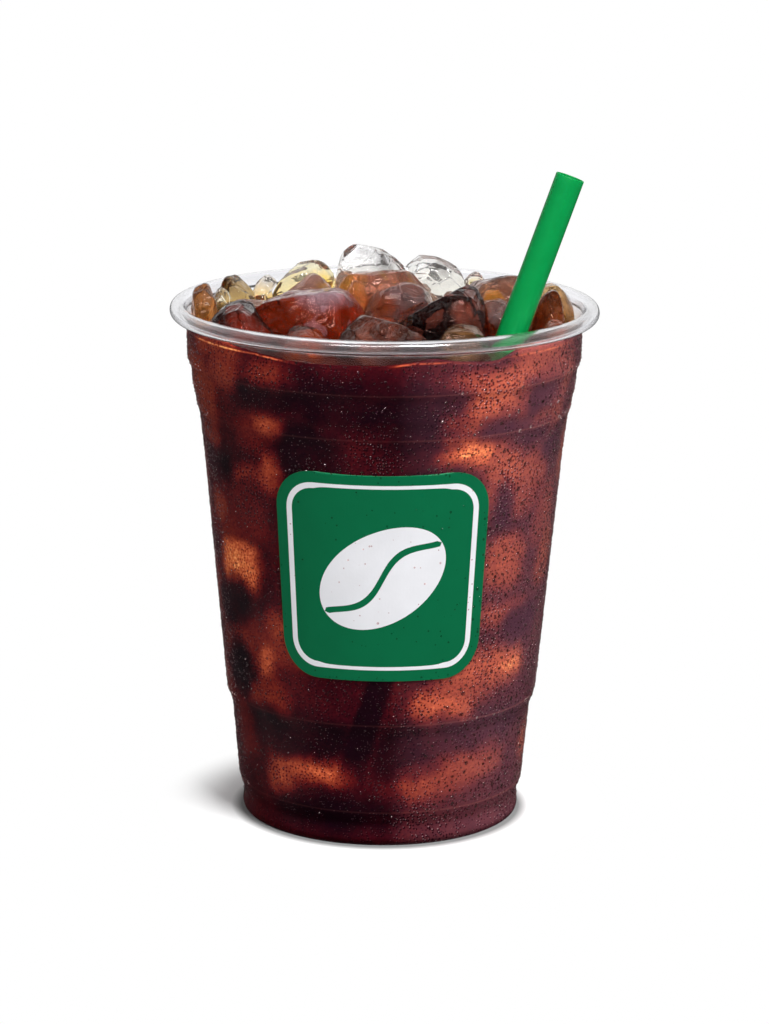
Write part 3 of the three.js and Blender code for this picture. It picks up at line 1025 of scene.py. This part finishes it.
def drink_outline():
    """(radius, height) of the drink's rows, and where the film's rows start and end.

    The rows go from the middle of its underside, up the wall, and back in over its surface.
    """
    floor = FLOOR_HEIGHT + CUP_SHEET - REACH_INTO_WALL
    ring_floor = CUP_SHEET - REACH_INTO_WALL
    ring_inside = stand_ring()[0] + CUP_SHEET - REACH_INTO_WALL
    rows = [(radius, floor) for radius in (0, 10, 20, ring_inside - FLOOR_BEND)]
    rows += [(ring_inside, floor - FLOOR_BEND), (ring_inside, ring_floor)]
    rows += [(wall_radius(1.0) - 1.0, ring_floor)]
    for height in drink_rows():
        rows.append((smooth_wall_radius(height) - CUP_SHEET + REACH_INTO_WALL, height))
    film_start = len(rows)
    edge = smooth_wall_radius(DRINK_LEVEL) - CUP_SHEET + REACH_INTO_WALL
    rows += [(edge, DRINK_LEVEL)] * len(film_rows(0.0))
    film_end = len(rows)
    inward = [edge - 0.35 * k for k in range(1, 8)]
    inward += list(np.linspace(inward[-1] - 1.0, 0.0, 36))
    rows += [(max(radius, 0.0), DRINK_LEVEL) for radius in inward]
    return rows, film_start, film_end


def first_corner(rows, row):
    """The number of a row's first corner: a row at the middle has one corner alone."""
    middles = sum(1 for radius, _ in rows[:row] if radius < 1e-6)
    return (row - middles) * DRINK_COLUMNS + middles


def raise_film(drink, first_film, first_open):
    """Lifts the film up the wall and the surface beside the ice; paints the golden highlight."""
    ice_points = waterline_points()
    gold = np.zeros(len(drink.data.vertices))
    for vertex in drink.data.vertices[first_film:]:
        x, y, _ = vertex.co / MM
        if vertex.index >= first_open:
            vertex.co.z += surface_rise(x, y, ice_points) * MM
            continue
        angle = math.atan2(x, -y)
        row = (vertex.index - first_film) // DRINK_COLUMNS
        height = film_rows(math.degrees(angle))[row]
        flare = FLARE_ABOVE_WALL * max(height - WALL[-1][1], 0.0)
        radius = wall_radius(height) + flare - CUP_SHEET + REACH_INTO_WALL
        vertex.co = Vector((radius * math.sin(angle), -radius * math.cos(angle), height)) * MM
        if row in PAINTED_EDGE_HIGHLIGHT_LIT_ROWS:
            gold[vertex.index] = painted_edge_highlight(angle)
    return gold


def build_drink():
    rows, film_start, film_end = drink_outline()
    drink = revolve("coffee", rows, DRINK_COLUMNS)
    gold = raise_film(drink, first_corner(rows, film_start), first_corner(rows, film_end))
    places = np.array([tuple(v.co) for v in drink.data.vertices])
    # Painted light: the glow through sunk ice and the golden highlight, less the straw's painted
    # shade.
    light = np.clip(painted_ice_glow(places) + gold, 0, 1) * (1 - straw_shade(places))
    store(drink, "painted_ice_glow", light)
    store(drink, "mist_and_sheen", mist_and_sheen_cover(places))
    finish_piece(drink, [coffee_wall(), coffee_top()], ["drink"])
    first_open_face = (film_end - 1) * DRINK_COLUMNS
    for index, polygon in enumerate(drink.data.polygons):
        polygon.material_index = 1 if index >= first_open_face else 0


def painted_edge_highlight(angle):
    """How bright the painted highlight along the coffee's upper edge is, at that angle."""
    glow = np.interp(math.degrees(angle), [a for a, _ in PAINTED_EDGE_HIGHLIGHT], [g for _, g in PAINTED_EDGE_HIGHLIGHT])
    return float(glow) * (0.8 + 0.5 * noise.noise(Vector((angle * 9.0, 3.0, 1.0))))


# Badge: a rounded square with a frame line and one coffee bean


def rounded_square(half, corner, steps=10):
    """The outline of a square with round corners, in flat millimetres."""
    points = []
    for quarter, (across, up) in enumerate(((1, 1), (-1, 1), (-1, -1), (1, -1))):
        centre = (across * (half - corner), up * (half - corner))
        points += arc(centre, corner, 90 * quarter, 90 * quarter + 90, steps)
    return points


def bean_half(side, steps=40):
    """One half of the bean, between its outline and the swaying groove."""
    long, short, groove = BEAN["long"], BEAN["short"], BEAN["groove"]
    outline = []
    crease = []
    for step in range(steps + 1):
        share = step / steps
        angle = math.pi * share
        outline.append((-long * math.cos(angle), side * short * math.sin(angle)))
        x = long * (1 - 2 * share)
        sway = BEAN["sway"] * math.sin(math.pi * x / long)
        taper = math.sqrt(max(1 - (x / long) ** 2, 0))
        crease.append((x, sway * taper + side * groove / 2))
    points = [turned(u, v, -BEAN["lean_deg"]) for u, v in outline + crease[1:-1]]
    return points


def cut_from_grid(outline, hole, spacing):
    """A grid of triangles that fills the outline, without the hole, in flat millimetres."""
    reach = max(max(abs(u), abs(v)) for u, v in outline) + spacing
    lines = np.arange(-reach, reach, spacing)
    points = [Vector((u, v)) for u in lines for v in lines]
    edges = []
    for loop in [outline] + ([hole] if hole else []):
        first = len(points)
        points += [Vector(p) for p in loop]
        count = len(loop)
        edges += [(first + k, first + (k + 1) % count) for k in range(count)]
    made, _, faces, *_ = delaunay_2d_cdt(points, edges, [], 0, 1e-5)
    kept = []
    for face in faces:
        middle = sum((made[i] for i in face), Vector((0, 0))) / len(face)
        if within(middle, outline) and not (hole and within(middle, hole)):
            kept.append(tuple(face))
    used = sorted({i for face in kept for i in face})
    renumber = {old: new for new, old in enumerate(used)}
    return [made[i] for i in used], [tuple(renumber[i] for i in face) for face in kept]


def within(point, loop):
    """Whether a flat point is inside a closed outline."""
    inside = False
    for (ax, ay), (bx, by) in zip(loop, loop[1:] + loop[:1]):
        if (ay > point.y) != (by > point.y):
            if point.x < ax + (point.y - ay) * (bx - ax) / (by - ay):
                inside = not inside
    return inside


def print_patch(name, outline, hole, lift, ink):
    """Prints a thin closed patch of ink, wrapped onto the wall."""
    flat, faces = cut_from_grid(outline, hole, BADGE["grid"])
    count = len(flat)
    radius = wall_radius(BADGE["centre"])
    vertices = []
    for layer in (lift, 0.0):
        for point in flat:
            height = BADGE["centre"] + point.y
            vertices.append(on_wall(point.x / radius, height, layer))
    border = {}
    for face in faces:
        for a, b in zip(face, face[1:] + face[:1]):
            border[(a, b)] = border.get((a, b), 0) + 1
    sides = [(b, a, a + count, b + count) for a, b in border if (b, a) not in border]
    backs = [tuple(i + count for i in reversed(face)) for face in faces]
    patch = link_mesh(name, vertices, [*faces, *backs, *sides], smooth=False)
    finish_piece(patch, [ink])


def build_badge():
    green = badge_ink("badge_green_ink", srgb(0, 100, 62))
    white = badge_ink("badge_white_ink", srgb(226, 226, 230))
    field = rounded_square(BADGE["half"], BADGE["corner"])
    print_patch("badge_field", field, None, BADGE["lift"], green)
    outer = BADGE["half"] - BADGE["frame_inset"]
    inner = outer - BADGE["frame_width"]
    corner = BADGE["corner"] - BADGE["frame_inset"]
    line = rounded_square(outer, corner)
    hole = rounded_square(inner, corner - BADGE["frame_width"])
    print_patch("badge_frame_line", line, hole, BADGE["motif_lift"], white)
    for side, name in ((1, "badge_bean_upper"), (-1, "badge_bean_lower")):
        print_patch(name, bean_half(side), None, BADGE["motif_lift"], white)


# Straw


def straw_ends():
    """The middles of the straw's two ends and its direction, read from the CAD straw."""
    points = np.array([tuple(v.co) for v in NODES["straw"].data.vertices])
    middle = points.mean(0)
    axis = np.linalg.svd(points - middle)[2][0]
    axis = axis if axis[2] > 0 else -axis
    along = (points - middle) @ axis
    half = (along.max() - along.min()) / 2
    centre = middle + axis * (along.max() + along.min()) / 2
    return Vector(centre - axis * half), Vector(centre + axis * half), Vector(axis)


def build_straw():
    foot, top, axis = straw_ends()
    length = (top - foot).length / MM
    lip = STRAW_WALL / 2
    middle = STRAW_RADIUS - lip
    climb = [lip + (length - 2 * lip) * k / STRAW_ROWS for k in range(STRAW_ROWS + 1)]
    outside = [(STRAW_RADIUS, height) for height in climb]
    top_lip = arc((middle, length - lip), lip, 0, 180, 6)[1:-1]
    inside = [(STRAW_RADIUS - STRAW_WALL, length - height) for height in climb]
    foot_lip = arc((middle, lip), lip, 180, 360, 6)[1:-1]
    rows = [*outside, *top_lip, *inside, *foot_lip, outside[0]]
    straw = revolve("straw_tube", rows, STRAW_SIDES)
    bm = bmesh.new()
    bm.from_mesh(straw.data)
    weld(bm)
    bm.to_mesh(straw.data)
    bm.free()
    turn = Vector((0, 0, 1)).rotation_difference(axis).to_matrix().to_4x4()
    straw.data.transform(Matrix.Translation(foot) @ turn)
    straw.data.update()
    finish_piece(straw, [straw_plastic()], ["straw"])


# Ice

# How ice looks in each tone: its colours at its foot, at its crest and in a painted spot, then how
# its surface and its inside differ.
LOOKS = {
    "clear": dict(foot=(236, 214, 150), crest=(248, 248, 248), spot=(92, 84, 74), spot_size=2.5,
        facets=0.08, tilt=0.14, cloud=0.05, clarity=0.97, roughness=0.02, ripple=240.0, bend=1.15,
        sheen=(1, 1, 1, 1)),
    "amber": dict(foot=(176, 96, 48), crest=(210, 160, 130), spot=(232, 150, 66), spot_size=4.0,
        facets=0.35, tilt=0.25, cloud=0.14, clarity=0.85, roughness=0.04, ripple=420.0, bend=1.19,
        sheen=(1, 0.85, 0.8, 1)),
    "brown": dict(foot=(74, 22, 10), crest=(116, 48, 30), spot=(186, 76, 28), spot_size=5.0,
        facets=0.6, tilt=0.35, cloud=0.06, clarity=0.7, roughness=0.03, ripple=420.0, bend=1.17,
        sheen=(0.7, 0.45, 0.4, 1)),
}

# The tone of each piece of ice, and what differs in it, with the place of its painted spot.
ICE = {
    "ice_tall_clear": ("clear", dict(spot_place=(1.4, 16, 127.2), spot_size=4.2, spot=(24, 13, 8),
        foot=(244, 240, 226), tilt=0.06, ripple=150.0)),
    "ice_clear_right": ("clear", dict(spot_place=(14, 17.5, 126), spot_size=2.6, spot=(58, 46, 38),
        foot=(246, 242, 222), tilt=0.06, ripple=150.0)),
    "ice_yellow": ("clear", dict(spot_place=(-14, 20, 119), spot=(250, 205, 70), spot_size=4.0,
        foot=(250, 224, 130), crest=(248, 246, 226), tilt=0.08, ripple=160.0)),
    "ice_yellow_tip": ("clear", dict(spot_place=(20, 26, 118), spot=(240, 220, 150))),
    "ice_left_peak": ("clear", dict(spot_place=(-37, 16, 121.5), spot=(50, 34, 24),
        foot=(222, 190, 116), crest=(150, 122, 92))),
    "ice_left_clear": ("clear", dict(spot_place=(-37, 10, 115), spot=(226, 200, 120))),
    "ice_dark_edged": ("clear", dict(spot_place=(-27, 25, 121), spot=(50, 42, 36),
        foot=(250, 205, 90))),
    "ice_dark_wedge": ("brown", dict(spot_place=(17.5, -21, 121.5), spot=(150, 80, 66),
        spot_size=2.4, foot=(30, 9, 7), crest=(46, 18, 16), facets=0.6)),
    # Its spot is a painted sheen of reflected light on its top.
    "ice_big_amber": ("brown", dict(spot_place=(-14, -17, 125.6), foot=(156, 52, 20),
        spot_size=4.4, crest=(150, 50, 22), spot=(210, 180, 192), facets=0.3)),
    "ice_front_left": ("brown", dict(spot_place=(-31, -29, 119), foot=(22, 6, 5), facets=0.8,
        crest=(36, 12, 9), spot=(120, 34, 18), clarity=0.5)),
    "ice_front_centre": ("brown", dict(spot_place=(-3, -38, 119.4), foot=(60, 24, 18), facets=0.6,
        crest=(92, 54, 44), spot=(150, 84, 66), cloud=0.2)),
    "ice_front_small": ("brown", dict(spot_place=(-17, -39, 117.5), foot=(70, 20, 12))),
    "ice_front_right": ("brown", dict(spot_place=(16, -39, 118), foot=(70, 40, 22),
        crest=(120, 84, 52), spot=(140, 96, 56))),
    "ice_right_small": ("brown", dict(spot_place=(37, -21, 117), foot=(130, 62, 40),
        crest=(190, 130, 110), spot=(170, 90, 60))),
    "ice_front_inner": ("brown", dict(spot_place=(0, -20, 117))),
    "ice_centre": ("amber", dict(spot_place=(-1, -7, 120), spot=(196, 104, 56), spot_size=3.0,
        foot=(130, 84, 66), crest=(178, 152, 152))),
    "ice_right": ("amber", dict(spot_place=(38, -8, 119), spot=(176, 92, 40), foot=(150, 72, 36),
        crest=(120, 60, 40))),
    "ice_top_centre": ("amber", dict(spot_place=(-11, 8, 121), spot=(248, 196, 84),
        crest=(204, 144, 122), foot=(170, 96, 60))),
    "ice_pink_facet": ("amber", dict(spot_place=(-13, 11, 120.5), spot=(250, 200, 80),
        spot_size=2.5, crest=(220, 186, 180))),
    "ice_small_orange": ("amber", dict(spot_place=(-6, 1, 120), spot=(236, 170, 100))),
    "ice_grey_brown": ("amber", dict(spot_place=(26, 11, 117), spot=(170, 110, 80),
        foot=(160, 112, 80), crest=(168, 136, 122))),
    "ice_beside_straw": ("amber", dict(spot_place=(25, -12, 121.5), spot=(226, 206, 206),
        foot=(140, 66, 34), crest=(186, 120, 90))),
    "ice_orange_yellow": ("amber", dict(spot_place=(25, 3, 119), spot=(248, 186, 80),
        foot=(214, 140, 56), crest=(232, 176, 96))),
    "ice_far_left": ("amber", dict(spot_place=(-42, -9, 116), spot=(200, 130, 60),
        foot=(190, 124, 60), crest=(166, 108, 62))),
    "ice_far_right": ("amber", dict(spot_place=(41, 3, 117), spot=(206, 150, 84),
        foot=(196, 140, 80), crest=(206, 176, 128))),
    "ice_left_middle": ("amber", dict(spot_place=(-28, -7, 116))),
    "ice_left_inner": ("amber", dict(spot_place=(-16, -1, 118))),
    "ice_middle_right": ("amber", dict(spot_place=(16, -3, 118))),
    "ice_back_left": ("amber", dict(spot_place=(-10, 43, 117))),
    "ice_back_middle": ("amber", dict(spot_place=(4, 43, 117))),
    "ice_back_right": ("amber", dict(spot_place=(30, 38, 117))),
}


def cut_directions(draw):
    """The six sides and eight corners of a box turned at random, as [(direction, share range)]."""
    turn = Matrix.Rotation(draw.uniform(0, math.pi / 2), 3, "Z")
    for axis in "XY":
        turn = Matrix.Rotation(draw.uniform(-BOX_TILT, BOX_TILT), 3, axis) @ turn
    signs = (-1, 0, 1)
    directions = []
    for x in signs:
        for y in signs:
            for z in signs:
                zeros = (x, y, z).count(0)
                if zeros in (0, 2):
                    shake = Vector([draw.uniform(-SIDE_SHAKE, SIDE_SHAKE) for _ in signs])
                    shaken = Vector((x, y, z)) + shake
                    share = SIDE_CUT if zeros == 2 else CORNER_CUT
                    directions.append((turn @ shaken.normalized(), share))
    return directions


def chisel(mesh, draw):
    """Cuts flats into a block, as ice breaks and melts, always inside its own form."""
    bm = bmesh.new()
    bm.from_mesh(mesh)
    weld(bm)
    for direction, share in cut_directions(draw):
        along = [vertex.co.dot(direction) for vertex in bm.verts]
        depth = draw.uniform(*share) * (max(along) - min(along))
        everything = bm.verts[:] + bm.edges[:] + bm.faces[:]
        bmesh.ops.bisect_plane(
            bm, geom=everything, dist=1e-7, plane_co=direction * (max(along) - depth),
            plane_no=direction, clear_outer=True)
        bmesh.ops.holes_fill(bm, edges=[edge for edge in bm.edges if edge.is_boundary])
    bmesh.ops.triangulate(bm, faces=bm.faces[:])
    bm.to_mesh(mesh)
    bm.free()


def build_ice_piece(name, index):
    """The CAD block, melted: cut into flats, rounded by a remesh, then softly rippled."""
    tone, changes = ICE[name]
    look = {**LOOKS[tone], "seed": float(index), **changes}
    obj = bpy.data.objects.new("melted_" + name, NODES[name].data.copy())
    bpy.context.scene.collection.objects.link(obj)
    obj.data.materials.clear()
    chisel(obj.data, random.Random(100 + index))
    remesh = obj.modifiers.new("melt", "REMESH")
    remesh.mode = "VOXEL"
    remesh.voxel_size = ICE_VOXEL * MM
    soften = obj.modifiers.new("soften", "SMOOTH")
    soften.iterations = 1
    soften.factor = 0.5
    bpy.context.view_layer.update()
    shaped = obj.evaluated_get(bpy.context.evaluated_depsgraph_get())
    mesh = bpy.data.meshes.new_from_object(shaped)
    obj.modifiers.clear()
    obj.data = mesh
    mesh.name = obj.name
    shift = Vector((index * 3.1, index * 1.7, 0.0))
    normals = [v.normal.copy() for v in mesh.vertices]
    for vertex, normal in zip(mesh.vertices, normals):
        broad = BROAD_SWELL[1] * noise.noise(vertex.co * BROAD_SWELL[0] + shift)
        crease = CREASES[1] * abs(noise.noise(vertex.co * CREASES[0] - shift))
        fine = FINE_SWELL[1] * noise.noise(vertex.co * FINE_SWELL[0] + shift)
        vertex.co += normal * MM * (ICE_SWELL + broad - crease + fine)
    mesh.polygons.foreach_set("use_smooth", [True] * len(mesh.polygons))
    mesh.update()
    finish_piece(obj, [ice_finish(name, look)], [name])


def build_ice():
    for index, name in enumerate(ICE):
        build_ice_piece(name, index)


# Water beads


def dome(sides, rings, flatness):
    """A low dome of radius 1 with a flat foot: its points, then its faces."""
    points = [(0, 0, flatness)]
    for ring in range(1, rings + 1):
        angle = math.pi / 2 * ring / rings
        for side in range(sides):
            turn = 2 * math.pi * (side + 0.5 * (ring % 2)) / sides
            radius = math.sin(angle)
            height = flatness * math.cos(angle)
            points.append((radius * math.cos(turn), radius * math.sin(turn), height))
    faces = [(0, 1 + side, 1 + (side + 1) % sides) for side in range(sides)]
    for ring in range(1, rings):
        low, high = 1 + (ring - 1) * sides, 1 + ring * sides
        for side in range(sides):
            beside = (side + 1) % sides
            faces.append((low + side, high + side, high + beside, low + beside))
    faces.append(tuple(1 + (rings - 1) * sides + side for side in reversed(range(sides))))
    return np.array(points), faces


def bead_places(draw, spacing, low, high, from_deg, to_deg, keep):
    """Places on the wall, on a shaken triangular grid, thinned by keep(angle, height)."""
    places = []
    rows = int((high - low) / (spacing * 0.87))
    for row in range(rows):
        height = low + (high - low) * (row + 0.5) / rows
        radius = wall_radius(height)
        span = math.radians(to_deg - from_deg)
        count = max(1, int(span * radius / spacing))
        for column in range(count):
            angle = math.radians(from_deg) + span * (column + 0.5 * (row % 2)) / count
            angle += draw.uniform(-BEAD_SHAKE, BEAD_SHAKE) * spacing / radius
            shaken = height + draw.uniform(-BEAD_SHAKE, BEAD_SHAKE) * spacing
            if low <= shaken <= high and draw.random() < keep(angle, shaken):
                places.append((angle, shaken))
    return places


def build_beads(name, places, draw, sizes, sides, rings, material):
    """One mesh of low domes that stand on the wall, each a little different."""
    template, faces = dome(sides, rings, BEAD_FLATNESS)
    vertices = np.zeros((len(places) * len(template), 3))
    all_faces = []
    for index, (angle, height) in enumerate(places):
        size = draw.uniform(*sizes) * (0.75 + 0.5 * draw.random())
        slope = wall_slope(height)
        scale = 1 / math.hypot(1, slope)
        out = np.array([math.sin(angle) * scale, -math.cos(angle) * scale, -slope * scale])
        side = np.array([math.cos(angle), math.sin(angle), 0.0])
        up = np.cross(out, side)
        stretch = draw.uniform(0.85, 1.2)
        spin = draw.uniform(0, math.pi)
        turned_x = template[:, 0] * math.cos(spin) - template[:, 1] * math.sin(spin)
        turned_y = template[:, 0] * math.sin(spin) + template[:, 1] * math.cos(spin)
        local = (np.outer(turned_x, side) + np.outer(turned_y * stretch, up)) * size
        local += np.outer(template[:, 2] * size - BEAD_SINK, out)
        first = index * len(template)
        base = np.array(on_wall(angle, height))
        vertices[first:first + len(template)] = base + local * MM
        all_faces += [tuple(first + i for i in face) for face in faces]
    beads = link_mesh(name, vertices.tolist(), all_faces)
    finish_piece(beads, [material])


def outside_badge(angle, height):
    u = angle * wall_radius(BADGE["centre"])
    return max(abs(u), abs(height - BADGE["centre"])) > BADGE["half"] - 1


def near_bend(height):
    return any(abs(height - bend) < BEND_MARGIN for _, bend in WALL)


def bead_share(angle, height):
    if near_bend(height):
        return 0.0
    patch = noise.noise(Vector((angle * 3.0, height * 0.09, 2.0)))
    right = 0.5 + 0.5 * math.sin(angle - 0.4)
    share = 0.3 + 0.6 * right + 0.6 * patch
    return share if outside_badge(angle, height) else 0.12 * share


def mist_share(angle, height):
    if near_bend(height):
        return 0.0
    patch = noise.noise(Vector((angle * 4.0, height * 0.12, 7.0)))
    share = 0.1 + 0.3 * max(math.sin(angle), 0) + 0.4 * patch
    return share if outside_badge(angle, height) else 0.2 * share


def large_share(angle, height):
    return 0.55 if outside_badge(angle, height) else 0.05


def build_all_beads():
    """Each layer: its spacing, its reach up and round the wall, its beads and their mesh."""
    draw = random.Random(12)
    # The beads' tints are painted shade, darker for the larger drops.
    drop = water("water_bead", srgb(120, 66, 62))
    fine = water("water_bead_fine", srgb(170, 120, 118))
    front, back, right, all_front = [(-95, 95)], [(95, 265)], [(18, 80)], [(-100, 100)]
    edges = [(66, 100), (-100, -66)]
    even_share = lambda angle, height: 0.7
    layers = [
        ("beads_front", 1.3, (4, 114), front, bead_share, (0.16, 0.29), 8, 2, drop),
        ("beads_back", 1.5, (4, 114), back, bead_share, (0.15, 0.27), 8, 2, drop),
        ("beads_large", 2.5, (4, 115), right, large_share, (0.28, 0.44), 10, 3, drop),
        ("beads_at_sides", 1.15, (3, 115), edges, even_share, (0.18, 0.32), 7, 2, drop),
        ("mist_low", 0.82, (3, MIST_SPLIT), all_front, mist_share, (0.1, 0.15), 5, 2, fine),
        ("mist_high", 0.82, (MIST_SPLIT, 115), all_front, mist_share, (0.1, 0.15), 5, 2, fine),
    ]
    for name, spacing, (low, high), spans, share, sizes, sides, rings, material in layers:
        places = []
        for from_deg, to_deg in spans:
            places += bead_places(draw, spacing, low, high, from_deg, to_deg, share)
        build_beads(name, places, draw, sizes, sides, rings, material)


# Camera, floor and light

LAMP_TARGET = (0, 0, 0.07)
# How far from the cup's axis the floor's lit part fades out, and its painted contact shade, in
# metres.
LIT_FLOOR = (0.035, 0.053)
CONTACT_SHADE = (0.0325, 0.035)
# The light that the floor gives matt surfaces, and what mirrors see of the front.
FLOOR_BOUNCE = 0.55
DARK_FRONT = 0.01


def build_camera():
    data = bpy.data.cameras.new("camera")
    data.sensor_fit = "VERTICAL"
    data.sensor_height = 36.0
    data.lens = CAMERA_LENS
    camera = bpy.data.objects.new("camera", data)
    bpy.context.scene.collection.objects.link(camera)
    place = Matrix.Translation(Vector(CAMERA_PLACE) * MM)
    look_down = Matrix.Rotation(math.radians(90 - CAMERA_DOWN_DEG), 4, "X")
    camera.matrix_world = place @ look_down @ Matrix.Rotation(CAMERA_ROLL, 4, "Z")
    bpy.context.scene.camera = camera


def add_softbox(name, place, size, brightness, lights_matt=True):
    """A rectangular lamp aimed at the cup. brightness is that of its face."""
    data = bpy.data.lights.new(name, "AREA")
    data.shape = "RECTANGLE"
    data.size, data.size_y = size
    data.energy = brightness * math.pi * size[0] * size[1]
    lamp = bpy.data.objects.new(name, data)
    bpy.context.scene.collection.objects.link(lamp)
    lamp.visible_diffuse = lights_matt
    aim = Vector(LAMP_TARGET) - Vector(place)
    turn = aim.to_track_quat("-Z", "Y").to_matrix().to_4x4()
    lamp.matrix_world = Matrix.Translation(Vector(place)) @ turn


def mirrored_ray(tree, path):
    """1 for a ray that a surface mirrors, and 0 for one that is seen or passes through."""
    through = math_node(tree, "SUBTRACT", 1.0, path["Is Transmission Ray"])
    return math_node(tree, "MULTIPLY", path["Is Glossy Ray"], through)


def build_floor():
    """White sweep: lit by the lamps near the cup, evenly white further off."""
    floor = link_mesh("floor", [(-6, -6, 0), (6, -6, 0), (6, 6, 0), (-6, 6, 0)], [(0, 1, 2, 3)])
    material, tree = new_material("pale_floor")
    path = tree.nodes.new("ShaderNodeLightPath").outputs
    away = vector_math(tree, "LENGTH", place_on(tree))["Value"]
    far = map_range(tree, away, LIT_FLOOR, interpolation_type="SMOOTHSTEP")
    # Painted shade on the floor round the cup's foot.
    contact = map_range(tree, away, CONTACT_SHADE, (0.25, 0.9))
    lit = principled(tree, {"Base Color": contact, "Roughness": 0.9, "Specular IOR Level": 0.0})

    def evenly(strength):
        white = {"Color": (1, 1, 1, 1), "Strength": strength}
        return add_node(tree, "ShaderNodeEmission", white).outputs[0]

    seen = mix_shaders(tree, far, lit, evenly(1.0))
    matt = mix_shaders(tree, path["Is Diffuse Ray"], seen, evenly(FLOOR_BOUNCE))
    show(tree, mix_shaders(tree, mirrored_ray(tree, path), matt, evenly(DARK_FRONT)))
    floor.data.materials.append(material)


def build_world():
    """A white studio: bright behind the cup, and darker in front of it and overhead."""
    world = bpy.data.worlds.new("studio")
    bpy.context.scene.world = world
    world.use_nodes = True
    tree = world.node_tree
    tree.nodes.clear()
    direction = tree.nodes.new("ShaderNodeTexCoord").outputs["Generated"]
    way = add_node(tree, "ShaderNodeSeparateXYZ", {"Vector": direction}).outputs
    path = tree.nodes.new("ShaderNodeLightPath").outputs
    mirrored = mirrored_ray(tree, path)
    front = math_node(tree, "MULTIPLY_ADD", path["Is Transmission Ray"], 0.64, DARK_FRONT)
    fade = (math_node(tree, "MULTIPLY_ADD", mirrored, 0.6, -0.2),
            math_node(tree, "MULTIPLY_ADD", mirrored, 0.45, 0.35))
    behind = map_range(tree, way["Y"], fade, (front, 1.0))
    above = math_node(tree, "MULTIPLY_ADD", path["Is Transmission Ray"], 0.35, 0.6)
    overhead = map_range(tree, way["Z"], (0.25, 0.8), (1.0, above))
    level = math_node(tree, "MULTIPLY", behind, overhead)
    for ray, even in (("Is Diffuse Ray", 0.5), ("Is Camera Ray", 1.0)):
        level = add_node(tree, "ShaderNodeMix", {0: path[ray], 2: level, 3: even}).outputs[0]
    sky = add_node(tree, "ShaderNodeBackground", {"Color": (1, 1, 1, 1), "Strength": level})
    output = tree.nodes.new("ShaderNodeOutputWorld")
    tree.links.new(sky.outputs[0], output.inputs["Surface"])


def build_light():
    add_softbox("softbox_key", (0.28, -0.53, 0.92), (0.32, 0.32), 42.0)
    add_softbox("softbox_rim_line", (0.0, -0.75, 1.0), (1.0, 0.2), 28.0, lights_matt=False)
    add_softbox("softbox_top", (-0.2, 0.15, 1.1), (0.6, 0.5), 2.5, lights_matt=False)


bpy.context.scene.view_settings.view_transform = "Standard"
build_camera()
build_floor()
build_world()
build_light()
build_cup()
build_drink()
build_ice()
build_straw()
build_badge()
build_all_beads()

bpy.context.view_layer.update()
